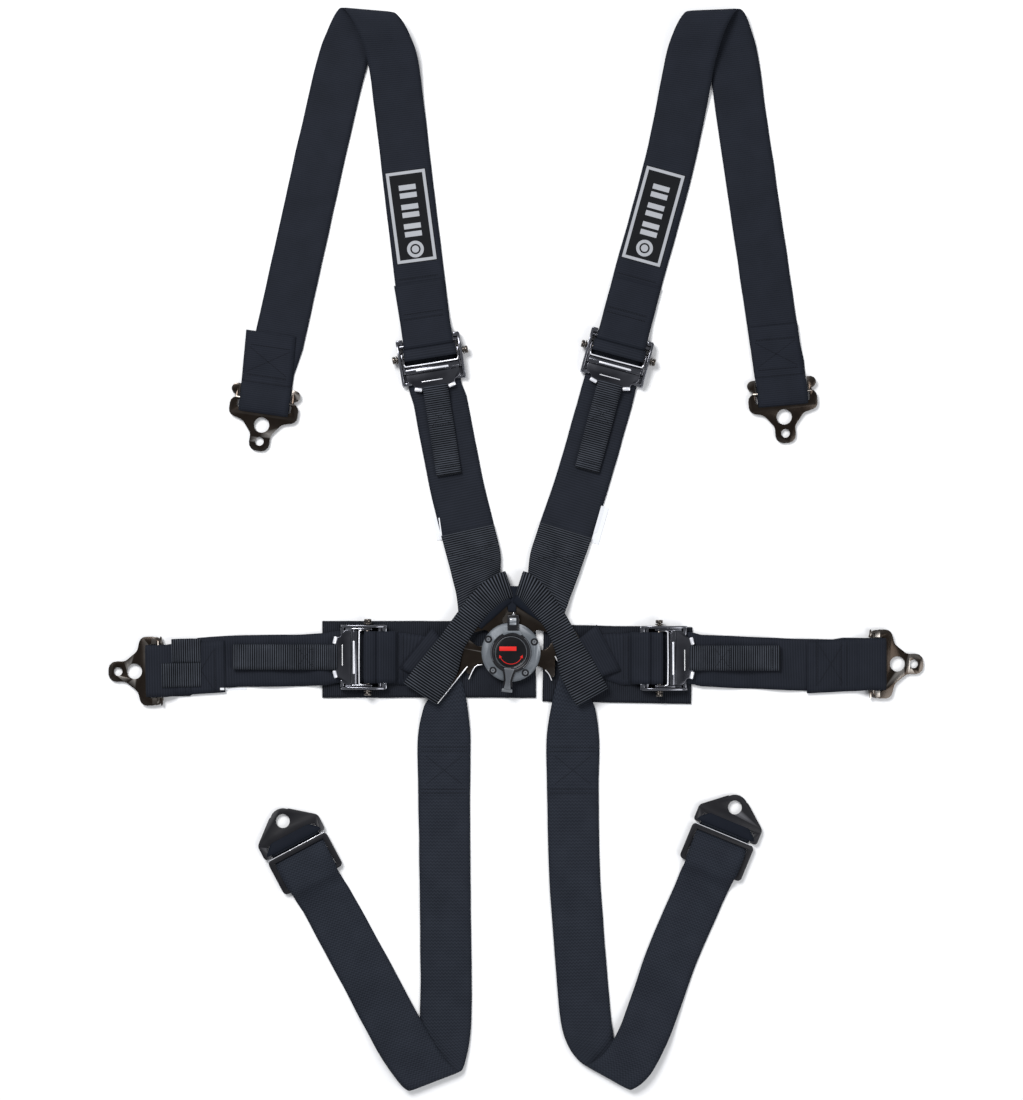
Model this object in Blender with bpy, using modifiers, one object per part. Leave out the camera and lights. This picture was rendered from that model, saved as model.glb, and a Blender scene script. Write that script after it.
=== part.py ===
"""A six-point racing harness laid out flat: two shoulder belts, two lap belts on pads and two leg
straps, joined at a rotary buckle. +X is the wearer's left, +Y runs up to the shoulders, +Z is up from
the floor. Sizes below are millimetres, and every mesh is scaled to metres as it is made."""

import math

import bmesh
import bpy
from mathutils import Matrix, Vector

MM = 0.001
GAP = 0.35

# Webbing
WEB = 1.5
BELT_WIDTH = 50.0
LOWER_WIDTH = 53.0
LAP_WIDTH = 52.0
LEG_WIDTH = 52.0
TAB_WIDTH = 25.0
ON_FLOOR = 0.95
STACKED = ON_FLOOR + WEB + GAP + 0.1

# Buckle
BUCKLE = (-5.0, -102.5)
BUCKLE_RADIUS = 29.5
BASE_BOTTOM = 2.6
BASE_FLOOR = 4.4
TONGUE_BOTTOM = 4.8
TONGUE_THICK = 2.4
TONGUE_MID = TONGUE_BOTTOM + TONGUE_THICK / 2
WALL_TOP = 7.6
COVER_BOTTOM = 7.9
COVER_TOP = 12.6
POCKET_RADIUS = 21.5
DIAL_BOTTOM = 12.95
LATCH_RADIUS = 17.0
SCREW_PLACES = ((26.0, 150.0), (25.5, 24.0), (25.5, 225.0), (25.0, 305.0))
TONGUE_HEADINGS = {"shoulder_left": 122.0, "shoulder_right": 58.0, "lap_left": 185.0, "lap_right": -12.0}

# Brackets and adjusters
ROD = 1.9
ROD_HEIGHT = 4.1
LOOP = ROD_HEIGHT - ON_FLOOR
BRACKET_THICK = 2.6
BRACKET_DROOP = 3.0
FRAME_HALF = 31.0
ROLLER = 3.2
ROLLER_AT = (5.0, 7.0)
REAR_ROD_AT = (17.0, 6.5)
ROLLER_LOOP = ROLLER + 0.45 + WEB / 2
REAR_LOOP = 2.3 + 0.5 + WEB / 2

STAGE = bpy.context.scene.collection


# ---------------------------------------------------------------- scene and materials
def clear_scene():
    for thing in list(bpy.data.objects):
        bpy.data.objects.remove(thing, do_unlink=True)


def collection(name):
    made = bpy.data.collections.new(name)
    STAGE.children.link(made)
    return made


def material(name, colour, rough, metal):
    made = bpy.data.materials.new(name)
    made.use_nodes = True
    shader = made.node_tree.nodes["Principled BSDF"]
    shader.inputs["Base Color"].default_value = (*colour, 1.0)
    shader.inputs["Roughness"].default_value = rough
    shader.inputs["Metallic"].default_value = metal
    return made


clear_scene()
PARTS = collection("racing_harness")
CUTTERS = collection("cutters")

WEBBING = material("webbing", (0.016, 0.019, 0.026), 0.85, 0.0)
NICKEL = material("black_nickel", (0.09, 0.07, 0.06), 0.25, 1.0)
BLACK_CHROME = material("black_chrome", (0.03, 0.03, 0.035), 0.15, 1.0)
SATIN_PAINT = material("satin_black_paint", (0.02, 0.02, 0.022), 0.45, 0.0)
GREY_CAST = material("grey_cast", (0.16, 0.17, 0.18), 0.5, 0.6)
GLOSS_BLACK = material("gloss_black", (0.015, 0.015, 0.017), 0.2, 0.0)
STEEL = material("bright_steel", (0.55, 0.55, 0.56), 0.25, 1.0)
SILVER_PRINT = material("silver_print", (0.4, 0.41, 0.43), 0.5, 0.0)


# ---------------------------------------------------------------- placing
class Place:
    """A flat frame on the floor: an origin and a turn about Z, in millimetres and degrees."""

    def __init__(self, x, y, turn, height=0.0):
        self.x = x
        self.y = y
        self.turn = turn
        self.height = height

    def point(self, across, along):
        angle = math.radians(self.turn)
        x = self.x + across * math.cos(angle) - along * math.sin(angle)
        y = self.y + across * math.sin(angle) + along * math.cos(angle)
        return x, y

    def empty(self, name, pitch=0.0):
        made = bpy.data.objects.new(name, None)
        STAGE.objects.link(made)
        made.location = Vector((self.x, self.y, self.height)) * MM
        made.rotation_euler = (math.radians(pitch), 0.0, math.radians(self.turn))
        return made


def add_object(name, mesh, finish, parent=None, where=(0, 0, 0), turn=(0, 0, 0), group=None):
    made = bpy.data.objects.new(name, mesh)
    (group or PARTS).objects.link(made)
    made.location = Vector(where) * MM
    made.rotation_euler = [math.radians(value) for value in turn]
    if finish:
        mesh.materials.append(finish)
    if parent:
        made.parent = parent
    return made


def as_mesh(name, bm, smooth_angle=None):
    mesh = bpy.data.meshes.new(name)
    bmesh.ops.scale(bm, vec=(MM, MM, MM), verts=bm.verts)
    bmesh.ops.recalc_face_normals(bm, faces=bm.faces)
    bm.to_mesh(mesh)
    bm.free()
    if smooth_angle:
        mesh.shade_smooth()
        mesh.set_sharp_from_angle(angle=math.radians(smooth_angle))
    return mesh


# ---------------------------------------------------------------- plain shapes
def box_mesh(name, size, centre=(0, 0, 0)):
    bm = bmesh.new()
    bmesh.ops.create_cube(bm, size=1.0)
    bmesh.ops.scale(bm, vec=size, verts=bm.verts)
    bmesh.ops.translate(bm, vec=centre, verts=bm.verts)
    return as_mesh(name, bm)


def round_mesh(name, radius, bottom, top, centre=(0, 0), sides=32, tip=None):
    """An upright cylinder, or a cone where tip gives its upper radius."""
    bm = bmesh.new()
    upper = radius if tip is None else tip
    bmesh.ops.create_cone(
        bm, cap_ends=True, segments=sides, radius1=radius, radius2=upper, depth=top - bottom
    )
    bmesh.ops.translate(bm, vec=(*centre, (top + bottom) / 2), verts=bm.verts)
    return as_mesh(name, bm, 40)


def rod_mesh(name, radius, half_length, along, height, sides=16):
    """A cylinder lying along X."""
    bm = bmesh.new()
    bmesh.ops.create_cone(
        bm, cap_ends=True, segments=sides, radius1=radius, radius2=radius, depth=2 * half_length
    )
    bmesh.ops.rotate(bm, matrix=Matrix.Rotation(math.pi / 2, 3, "Y"), verts=bm.verts)
    bmesh.ops.translate(bm, vec=(0, along, height), verts=bm.verts)
    return as_mesh(name, bm, 40)


def turned(name, profile, finish, steps=40, parent=None, ring=False):
    """A profile of (radius, height), down its outer side, spun about Z. A ring's profile closes on itself."""
    mesh = bpy.data.meshes.new(name)
    points = [(radius * MM, 0.0, height * MM) for radius, height in profile]
    edges = [(i, i + 1) for i in range(len(points) - 1)]
    if ring:
        edges.append((len(points) - 1, 0))
    mesh.from_pydata(points, edges, [])
    made = add_object(name, mesh, finish, parent)
    screw = made.modifiers.new("spin", "SCREW")
    screw.steps = steps
    screw.render_steps = steps
    screw.use_merge_vertices = True
    screw.merge_threshold = 0.00001
    return made


def rounded(corners, steps=3):
    """The outline through (x, y, radius) corners, each rounded by an arc that touches both its sides."""
    outline = []
    count = len(corners)
    for i, (x, y, radius) in enumerate(corners):
        here = Vector((x, y))
        if radius <= 0:
            outline.append(here)
            continue
        before = (Vector(corners[i - 1][:2]) - here).normalized()
        after = (Vector(corners[(i + 1) % count][:2]) - here).normalized()
        half = before.angle(after) / 2
        reach = radius / math.tan(half)
        middle = here + (before + after).normalized() * (radius / math.sin(half))
        first = here + before * reach - middle
        last = here + after * reach - middle
        sweep = first.angle_signed(last)
        for step in range(steps + 1):
            outline.append(middle + Matrix.Rotation(-sweep * step / steps, 2) @ first)
    return [(point.x, point.y) for point in outline]


def circle(x, y, radius, sides=24):
    turn = 2 * math.pi / sides
    return [(x + radius * math.cos(i * turn), y + radius * math.sin(i * turn)) for i in range(sides)]


def mirrored(outline):
    return [(-x, y) for x, y in reversed(outline)]


def plate_mesh(name, outlines, thickness, height=0.0):
    """A flat plate with holes: a filled 2D curve, extruded by half its thickness, made a mesh."""
    curve = bpy.data.curves.new(name, "CURVE")
    curve.dimensions = "2D"
    curve.fill_mode = "BOTH"
    curve.extrude = thickness / 2 * MM
    for outline in outlines:
        spline = curve.splines.new("POLY")
        spline.points.add(len(outline) - 1)
        for point, (x, y) in zip(spline.points, outline):
            point.co = (x * MM, y * MM, 0.0, 1.0)
        spline.use_cyclic_u = True
    holder = bpy.data.objects.new(name, curve)
    STAGE.objects.link(holder)
    graph = bpy.context.evaluated_depsgraph_get()
    mesh = bpy.data.meshes.new_from_object(holder.evaluated_get(graph))
    bpy.data.objects.remove(holder)
    bm = bmesh.new()
    bm.from_mesh(mesh)
    bmesh.ops.remove_doubles(bm, verts=bm.verts, dist=0.000002)
    bmesh.ops.recalc_face_normals(bm, faces=bm.faces)
    bmesh.ops.translate(bm, vec=(0, 0, height * MM), verts=bm.verts)
    bm.to_mesh(mesh)
    bm.free()
    return mesh


def join(base, tools, operation):
    """Unites or cuts base with each tool mesh, which shares base's own frame."""
    for i, mesh in enumerate(tools):
        tool = add_object(f"{base.name}_{operation.lower()}_{i}", mesh, None, group=CUTTERS)
        tool.parent = base
        tool.hide_render = True
        tool.display_type = "WIRE"
        step = base.modifiers.new(f"{operation.lower()}_{i}", "BOOLEAN")
        step.operation = operation
        step.solver = "EXACT"
        step.object = tool


# ---------------------------------------------------------------- webbing
def station(x, y, z, turn, width):
    """One cross line of a strap: its middle, the turn of its width about Z, and its width."""
    return (x, y, z, turn, width)


def smooth(stations, steps=4):
    """A Catmull-Rom curve through the stations, each span cut into the same number of steps."""
    made = []
    last = len(stations) - 1
    for i in range(last):
        near = [Vector(stations[min(max(k, 0), last)]) for k in (i - 1, i, i + 1, i + 2)]
        for step in range(steps):
            t = step / steps
            a = near[1] * 2
            b = (near[2] - near[0]) * t
            c = (near[0] * 2 - near[1] * 5 + near[2] * 4 - near[3]) * t * t
            d = (near[1] * 3 - near[0] - near[2] * 3 + near[3]) * t * t * t
            made.append(tuple((a + b + c + d) / 2))
    made.append(tuple(stations[last]))
    return made


def loop_round(place, along, height, radius, width, side=-1, upward=True, steps=7):
    """Half a turn round a bar at place's (0, along), on its far side (side -1 is towards -Y)."""
    made = []
    for step in range(steps + 1):
        angle = math.pi * step / steps - math.pi / 2
        lift = radius * math.sin(angle)
        reach = along + side * radius * math.cos(angle)
        x, y = place.point(0.0, reach)
        made.append(station(x, y, height + (lift if upward else -lift), place.turn, width))
    return made


def strap(name, stations, finish=WEBBING, thickness=WEB, cells=1, parent=None):
    """Webbing: a grid whose rows lie on the stations, thickened to both sides."""
    rows = len(stations)
    bm = bmesh.new()
    bmesh.ops.create_grid(bm, x_segments=cells, y_segments=rows - 1, size=1.0)
    for vert in bm.verts:
        row = round((vert.co.y + 1) / 2 * (rows - 1))
        x, y, z, turn, width = stations[row]
        across = vert.co.x * width / 2
        angle = math.radians(turn)
        vert.co = (x + across * math.cos(angle), y + across * math.sin(angle), z)
    mesh = as_mesh(name, bm, 60)
    made = add_object(name, mesh, finish, parent)
    solid = made.modifiers.new("webbing", "SOLIDIFY")
    solid.thickness = thickness * MM
    solid.offset = 0.0
    return made


# ---------------------------------------------------------------- hardware
def side_plate_mesh(name, outline, thickness, x):
    """A plate standing on edge: the outline's (a, b) become (y, z), at the given x."""
    mesh = plate_mesh(name, [outline], thickness)
    mesh.transform(Matrix(((0, 0, 1, x * MM), (1, 0, 0, 0), (0, 1, 0, 0), (0, 0, 0, 1))))
    return mesh


def anchor_bracket(name, place):
    """A clip-in anchor: ears and a rod on X through the place's origin, wings, and a nose towards -Y."""
    half = rounded(
        [
            (0.0, -51.0, 0),
            (10.5, -50.0, 8),
            (10.0, -34.0, 8),
            (20.0, -21.5, 9),
            (34.5, -18.0, 7),
            (34.5, -0.5, 7),
            (29.5, 0.5, 1),
            (29.5, 5.0, 1),
            (35.0, 5.0, 3),
            (34.0, 13.5, 3.5),
            (27.2, 12.0, 1),
            (27.2, -9.5, 1.5),
            (0.0, -9.5, 0),
        ]
    )[1:-1]
    outlines = [half + mirrored(half), circle(0.0, -24.5, 7.7, 20), circle(0.0, -41.0, 4.4, 14)]
    hub = Place(place.x, place.y, place.turn, ROD_HEIGHT).empty(name + "_axis", BRACKET_DROOP)
    made = add_object(name, plate_mesh(name, outlines, BRACKET_THICK), NICKEL, hub)
    join(made, [rod_mesh(name + "_rod", ROD, 29.5, 0.0, 0.0, 10)], "UNION")


def leg_anchor(name, place, along):
    """A rounded triangle with one bolt hole, its rod on X through the place's (0, along)."""
    half = rounded(
        [
            (0.0, 34.0, 0),
            (11.0, 31.0, 5),
            (34.0, 12.0, 6),
            (34.0, -4.5, 3),
            (27.2, -4.5, 1),
            (27.2, 6.5, 1.5),
            (0.0, 6.5, 0),
        ]
    )[1:-1]
    outline = half + mirrored(half)
    x, y = place.point(0.0, along)
    hub = Place(x, y, place.turn, ROD_HEIGHT).empty(name + "_axis", -BRACKET_DROOP)
    made = add_object(name, plate_mesh(name, [outline], BRACKET_THICK), SATIN_PAINT, hub)
    nose = plate_mesh(name + "_nose", [circle(0.0, 22.5, 12.8, 28)], BRACKET_THICK)
    join(made, [nose, rod_mesh(name + "_rod", ROD, 29.5, 0.0, 0.0, 10)], "UNION")
    join(made, [round_mesh(name + "_hole", 7.0, -5, 5, (0.0, 22.5), 20)], "DIFFERENCE")


def slide_frame(name, place):
    """A three-bar slide: two slots either side of the middle bar that the webbing passes over."""
    outer = rounded([(33.0, 19.0, 4), (-33.0, 19.0, 4), (-33.0, -19.0, 4), (33.0, -19.0, 4)])
    slots = []
    for low, high in ((-14.0, -4.5), (4.5, 14.0)):
        slots.append([(-27.5, low), (27.5, low), (27.5, high), (-27.5, high)])
    hub = Place(place.x, place.y, place.turn, 4.3).empty(name + "_place")
    add_object(name, plate_mesh(name, [outer, *slots], 2.6), SATIN_PAINT, hub)


def adjuster(prefix, place):
    """A tilt-lock adjuster. Its fixed belt leaves towards +Y and its pull tab lies towards -Y."""
    hub = place.empty(prefix + "_adjuster")
    pin_along, pin_height = ROLLER_AT
    side = rounded(
        [(-24.0, 0.2, 1), (20.0, 0.2, 1), (21.0, 9.0, 3), (10.0, 13.0, 4), (-16.0, 10.5, 4), (-25.0, 6.0, 3)]
    )
    frame = add_object(prefix + "_adjuster_frame", side_plate_mesh("side", side, 2.0, FRAME_HALF), BLACK_CHROME, hub)
    rear_along, rear_height = REAR_ROD_AT
    join(
        frame,
        [
            side_plate_mesh(prefix + "_side", side, 2.0, -FRAME_HALF),
            rod_mesh(prefix + "_rear_rod", 2.3, FRAME_HALF, rear_along, rear_height, 10),
            box_mesh(prefix + "_base_strip", (2 * FRAME_HALF, 10.0, 1.3), (0.0, -13.0, 0.85)),
        ],
        "UNION",
    )
    join(frame, [rod_mesh(prefix + "_pin_hole", 2.5, 40.0, pin_along, pin_height, 12)], "DIFFERENCE")

    bar = add_object(prefix + "_adjuster_bar", rod_mesh("bar", ROLLER, 27.0, pin_along, pin_height, 14), BLACK_CHROME, hub)
    heads = [rod_mesh(prefix + "_pin", 2.0, 38.0, pin_along, pin_height, 10)]
    for x in (-36.0, 36.0):
        head = rod_mesh(prefix + "_pin_head", 3.9, 2.5, pin_along, pin_height, 10)
        head.transform(Matrix.Translation((x * MM, 0, 0)))
        heads.append(head)
    join(bar, heads, "UNION")

    lever_hub = Place(*place.point(0.0, pin_along), place.turn, place.height + pin_height)
    pivot = lever_hub.empty(prefix + "_lever_axis")
    half = rounded(
        [(28.4, -13.0, 0), (28.4, -22.0, 4), (20.5, -26.5, 4), (20.5, -34.0, 3), (0.0, -34.0, 0)]
    )[:-1]
    slot = [(-13.6, -32.0), (13.6, -32.0), (13.6, -29.2), (-13.6, -29.2)]
    plate = plate_mesh(prefix + "_lever_plate", [half + mirrored(half), slot], 2.0)
    arm = rounded([(4.5, -3.0, 2), (4.5, 4.0, 3), (-15.0, 4.0, 2), (-15.0, -2.0, 1)])
    lever = add_object(prefix + "_adjuster_lever", plate, BLACK_CHROME, pivot)
    join(
        lever,
        [
            side_plate_mesh(prefix + "_arm_l", arm, 2.0, -28.4),
            side_plate_mesh(prefix + "_arm_r", arm, 2.0, 28.4),
            rod_mesh(prefix + "_lip", 3.4, 29.4, -13.0, 1.0, 14),
        ],
        "UNION",
    )
    join(lever, [rod_mesh(prefix + "_lever_hole", 2.5, 40.0, 0.0, 0.0, 12)], "DIFFERENCE")

    end = -116.0
    lip = Place(*place.point(0.0, -28.0), place.turn)
    route = []
    for along, height in ((end, 2.9), (-47.0, 2.9), (-35.0, 3.5)):
        route.append(station(*place.point(0.0, along), place.height + height, place.turn, TAB_WIDTH))
    route += loop_round(lip, 0.0, place.height + 7.0, 2.45, TAB_WIDTH, side=1)
    for along, height in ((-36.0, 7.6), (-46.0, 5.3), (-60.0, 4.9), (end, 4.9)):
        route.append(station(*place.point(0.0, along), place.height + height, place.turn, TAB_WIDTH))
    strap(prefix + "_pull_tab", route, thickness=1.3)


# ---------------------------------------------------------------- tongues
def tongue_place(side):
    return Place(*BUCKLE, TONGUE_HEADINGS[side] - 90.0, TONGUE_MID)


def shoulder_tongue(side):
    """A latch plate: nose in the buckle, narrow neck, and a wide slotted end for the webbing."""
    inner = 1.0 if side == "left" else -1.0
    corners = [
        (-5.0, 10.5, 2),
        (5.0, 10.5, 2),
        (8.5, 16.0, 3),
        (8.5, 32.0, 5),
        (23.0, 38.5, 4),
        (23.0, 48.5, 2),
        (-29.0, 48.5, 3),
        (-29.0, 39.0, 4),
        (-8.5, 32.0, 5),
        (-8.5, 16.0, 3),
    ]
    slot = [(-26.6, 42.4, 1), (21.0, 42.4, 1), (21.0, 45.9, 1), (-26.6, 45.9, 1)]
    outer = [(x * inner, y, radius) for x, y, radius in corners]
    inside = [(x * inner, y, radius) for x, y, radius in slot]
    outlines = [rounded(outer), rounded(inside, 2), circle(0.0, LATCH_RADIUS, 2.8, 16)]
    hub = tongue_place("shoulder_" + side).empty(f"shoulder_tongue_{side}_place")
    add_object("shoulder_tongue_" + side, plate_mesh("tongue", outlines, TONGUE_THICK), NICKEL, hub)


class Eye:
    """The angled eye of a lap tongue: its bright inner bar runs from near to far, seen from the buckle axis."""

    def __init__(self, near, far):
        self.near = Vector(near)
        self.far = Vector(far)
        self.along = (self.far - self.near).normalized()
        self.out = Vector((self.along.y, -self.along.x))
        if self.out.y < 0:
            self.out.negate()
        self.length = (self.far - self.near).length

    def at(self, out, along):
        return self.near + self.out * out + self.along * along

    def world(self, out, along):
        spot = self.at(out, along)
        return BUCKLE[0] + spot.x, BUCKLE[1] + spot.y


EYES = {"left": Eye((-43.0, -13.5), (-74.0, -52.0)), "right": Eye((43.5, -3.0), (69.0, -51.0))}
EYE_WIDTH = 29.75
WRAP_BAR = 28.6
FLARES = {"left": ((-46.0, 16.0), (-45.0, -27.0)), "right": ((47.0, 16.0), (43.0, -29.0))}


def lap_tongue(side):
    """A latch plate whose far end is an angled eye that carries the lap belt and the leg strap."""
    eye = EYES[side]
    sign = -1.0 if side == "left" else 1.0
    heading = math.radians(TONGUE_HEADINGS["lap_" + side])
    out = Vector((math.cos(heading), math.sin(heading)))
    up = Vector((-out.y, out.x)) * sign
    high, low = (Vector(point) for point in FLARES[side])
    corners = [
        (*(out * 10.5 - up * 5.0), 2),
        (*(out * 10.5 + up * 5.0), 2),
        (*(out * 16.0 + up * 8.5), 3),
        (*(out * 33.0 + up * 8.5), 5),
        (*high, 5),
        (*eye.at(EYE_WIDTH, -13.0), 4),
        (*eye.at(EYE_WIDTH, eye.length), 5),
        (*eye.at(0.0, eye.length), 5),
        (*eye.at(0.0, 2.0), 1),
        (*low, 2.5),
        (*(out * 33.0 - up * 8.5), 5),
        (*(out * 16.0 - up * 8.5), 3),
    ]
    far = eye.length - 5.0
    slot = [(*eye.at(4.2, 8.0), 2), (*eye.at(4.2, far), 2), (*eye.at(27.45, far), 2), (*eye.at(27.45, -6.0), 2)]
    hole = out * LATCH_RADIUS
    outlines = [rounded(corners), rounded(slot, 3), circle(hole.x, hole.y, 2.8, 16)]
    name = "lap_tongue_" + side
    hub = Place(*BUCKLE, 0.0, TONGUE_MID).empty(name + "_place")
    add_object(name, plate_mesh(name, outlines, TONGUE_THICK), NICKEL, hub)


# ---------------------------------------------------------------- buckle
def spot(radius, degrees):
    angle = math.radians(degrees)
    return radius * math.cos(angle), radius * math.sin(angle)


def buckle():
    hub = Place(*BUCKLE, 0.0).empty("buckle_axis")
    base = add_object(
        "buckle_base", round_mesh("base", BUCKLE_RADIUS - 1.5, BASE_BOTTOM, WALL_TOP, sides=40), GREY_CAST, hub
    )
    cuts = [round_mesh("pocket", POCKET_RADIUS, BASE_FLOOR, 9.0, sides=40)]
    for heading in TONGUE_HEADINGS.values():
        window = box_mesh("window", (24.0, 18.6, 5.0), (27.0, 0.0, BASE_FLOOR + 2.5))
        window.transform(Matrix.Rotation(math.radians(heading), 4, "Z"))
        cuts.append(window)
    for radius, degrees in SCREW_PLACES:
        cuts.append(round_mesh("thread", 1.75, 5.0, 9.0, spot(radius, degrees), 8))
    join(base, cuts, "DIFFERENCE")

    cover = turned(
        "buckle_cover",
        [
            (27.3, COVER_TOP),
            (BUCKLE_RADIUS, COVER_TOP - 1.8),
            (BUCKLE_RADIUS, COVER_BOTTOM),
            (POCKET_RADIUS, COVER_BOTTOM),
            (POCKET_RADIUS, 11.2),
            (4.6, 11.2),
            (4.6, COVER_TOP),
        ],
        GREY_CAST,
        40,
        hub,
        ring=True,
    )
    cuts = []
    for radius, degrees in SCREW_PLACES:
        cuts.append(round_mesh("clearance", 1.8, 7.0, 14.0, spot(radius, degrees), 8))
        cuts.append(round_mesh("counterbore", 3.2, 11.1, 14.0, spot(radius, degrees), 14))
    join(cover, cuts, "DIFFERENCE")

    for number, (radius, degrees) in enumerate(SCREW_PLACES, 1):
        screw = turned(
            f"cover_screw_{number}",
            [(0.0, 12.5), (2.3, 12.5), (2.85, 12.0), (2.85, 11.4), (1.3, 11.4), (1.3, 5.3), (0.0, 5.3)],
            GREY_CAST,
            10,
            hub,
        )
        screw.location = Vector((*spot(radius, degrees), 0.0)) * MM

    ring_start = math.radians(-90 + 15)
    ring = []
    for i in range(41):
        angle = ring_start + math.radians(330) * i / 40
        ring.append((20.0 * math.cos(angle), 20.0 * math.sin(angle)))
    handle = rounded(
        [(-3.0, -26.0, 3), (-5.4, -36.0, 2), (-5.4, -40.0, 1.5), (5.4, -40.0, 1.5), (5.4, -36.0, 2), (3.0, -26.0, 3)]
    )
    lever = plate_mesh("lever", [ring + handle, circle(0.0, 0.0, 16.7, 40)], 3.4, DIAL_BOTTOM + 1.7)
    add_object("release_lever", lever, GREY_CAST, hub, turn=(0, 0, -6.0))
    turned(
        "release_dial",
        [(0.0, 17.3), (12.0, 17.1), (15.0, 16.4), (16.3, 15.0), (16.3, DIAL_BOTTOM), (3.6, DIAL_BOTTOM), (3.6, 10.2), (0.0, 10.2)],
        GLOSS_BLACK,
        40,
        hub,
    )

    lobes = []
    for i in range(48):
        angle = 2 * math.pi * i / 48
        reach = 9.5 + 2.5 * math.cos(4 * angle)
        lobes.append((reach * math.cos(angle), reach * math.sin(angle)))
    add_object("release_cam", plate_mesh("cam", [lobes], 1.6, 9.0), STEEL, hub)

    curve = bpy.data.curves.new("spring", "CURVE")
    curve.dimensions = "3D"
    curve.bevel_depth = 0.3 * MM
    curve.bevel_resolution = 1
    curve.use_fill_caps = True
    spline = curve.splines.new("POLY")
    spline.points.add(24)
    for i, point in enumerate(spline.points):
        angle = 4 * math.pi * i / 24
        reach = 5.0 + 3.0 * i / 24
        point.co = (reach * math.cos(angle) * MM, reach * math.sin(angle) * MM, 10.55 * MM, 1.0)
    spring = bpy.data.objects.new("return_spring", curve)
    PARTS.objects.link(spring)
    curve.materials.append(STEEL)
    spring.parent = hub

    for number, heading in enumerate(TONGUE_HEADINGS.values(), 1):
        pin = round_mesh("pin", 2.3, 4.8, 7.85, spot(LATCH_RADIUS, heading), 12)
        add_object(f"latch_pin_{number}", pin, STEEL, hub)

    clip = add_object("dial_clip", box_mesh("clip", (11.0, 16.0, 4.2), (0, 0, 0)), STEEL, hub, (1.2, 30.8, 15.1))
    edge = clip.modifiers.new("edge", "BEVEL")
    edge.width = 1.2 * MM
    edge.segments = 2


# ---------------------------------------------------------------- shoulder belts
def from_place(place, along, height, width, across=0.0):
    return station(*place.point(across, along), place.height + height, place.turn, width)


def anchor_end(place, width, tail):
    """The end of a belt: under the bracket's rod, round it, and back on top for the tail's length."""
    made = [from_place(place, 30.0, ON_FLOOR, width)]
    made += loop_round(place, 0.0, ROD_HEIGHT, LOOP, width)
    made.append(from_place(place, 14.0, 5.2, width, -0.8))
    made.append(from_place(place, 26.0, STACKED, width, -1.6))
    made.append(from_place(place, tail, STACKED, width, -3.5))
    return made


def fixed_end(place, width, tail):
    """The sewn end of a belt at an adjuster: on top, down round the rear rod, and out underneath."""
    along, height = REAR_ROD_AT
    made = [
        from_place(place, along + tail, STACKED, width),
        from_place(place, along + 24.0, STACKED + 0.4, width),
        from_place(place, along + 12.0, 6.4, width),
    ]
    made += loop_round(place, along, place.height + height, REAR_LOOP, width, upward=False)
    made.append(from_place(place, along + 16.0, 1.6, width))
    return made


def roller_end(place, width):
    """The free end of a belt: in under the lever, round the knurled bar, and just over its top."""
    along, height = ROLLER_AT
    made = [from_place(place, -4.0, height - ROLLER_LOOP + 0.1, width)]
    turnback = loop_round(place, along, place.height + height, ROLLER_LOOP, width, side=1)
    return made + turnback


def shoulder_belt(side, adjuster_place, bracket_place, run):
    """The upper belt: sewn to the adjuster, up the inner run, over the soft fold and down to the anchor."""
    route = fixed_end(adjuster_place, BELT_WIDTH, 62.0)
    route += smooth([station(*spot_, BELT_WIDTH) for spot_ in run], 5)
    route += anchor_end(bracket_place, BELT_WIDTH, 68.0)
    strap("shoulder_belt_" + side, route)


def lower_strap(side, adjuster_place, run, turn):
    """The lower strap: in through the adjuster, down to the tongue's bar and back, sewn on top."""
    route = roller_end(adjuster_place, LOWER_WIDTH)[::-1]
    route.append(from_place(adjuster_place, -18.0, 2.6, LOWER_WIDTH))
    route.append(from_place(adjuster_place, -27.0, 1.8, LOWER_WIDTH))
    route += smooth([station(*spot_[:4], spot_[4]) for spot_ in run], 4)
    shift = -2.8 if side == "left" else 2.8
    bar = Place(*tongue_place("shoulder_" + side).point(shift, 47.2), turn)
    route += loop_round(bar, 0.0, TONGUE_MID, 2.9, 46.0, side=-1)
    route.append(from_place(bar, 9.0, 8.0, 47.0))
    for x, y, z, across, width in reversed(run[-3:]):
        route.append(station(x, y, z + WEB + GAP + 0.1, across, width))
    strap("shoulder_strap_" + side, route)


SHOULDER_ADJUSTERS = {"left": Place(-85.0, 189.5, 9.0), "right": Place(101.0, 191.5, -15.0)}
SHOULDER_BRACKETS = {"left": Place(-251.1, 148.8, -8.1), "right": Place(266.2, 157.1, 5.0)}
BELT_RUNS = {
    "left": [
        (-96.5, 272.0, ON_FLOOR, 7.5),
        (-110.0, 385.0, ON_FLOOR, 7.0),
        (-117.0, 445.0, 2.2, 6.5),
        (-123.0, 489.0, 9.0, 5.0),
        (-132.0, 515.0, 14.5, 2.0),
        (-141.0, 531.0, 15.0, -2.0),
        (-148.5, 538.0, 11.5, -5.0),
        (-155.0, 533.0, 7.5, -8.0),
        (-164.0, 515.0, 4.2, -11.0),
        (-173.5, 489.5, 1.8, -12.5),
        (-189.0, 425.0, ON_FLOOR, -12.5),
        (-238.0, 205.0, ON_FLOOR, -11.5),
    ],
    "right": [
        (121.0, 267.0, ON_FLOOR, -15.5),
        (150.0, 372.0, ON_FLOOR, -13.5),
        (165.0, 440.0, 2.2, -10.0),
        (174.0, 489.0, 9.0, -6.0),
        (182.0, 515.0, 14.5, -3.0),
        (190.0, 531.0, 15.0, 0.0),
        (197.0, 538.0, 11.5, 2.5),
        (204.0, 533.0, 7.5, 5.0),
        (211.0, 515.0, 4.2, 7.0),
        (218.0, 489.5, 1.8, 7.5),
        (227.0, 425.0, ON_FLOOR, 7.5),
        (259.5, 205.0, ON_FLOOR, 6.5),
    ],
}
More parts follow.
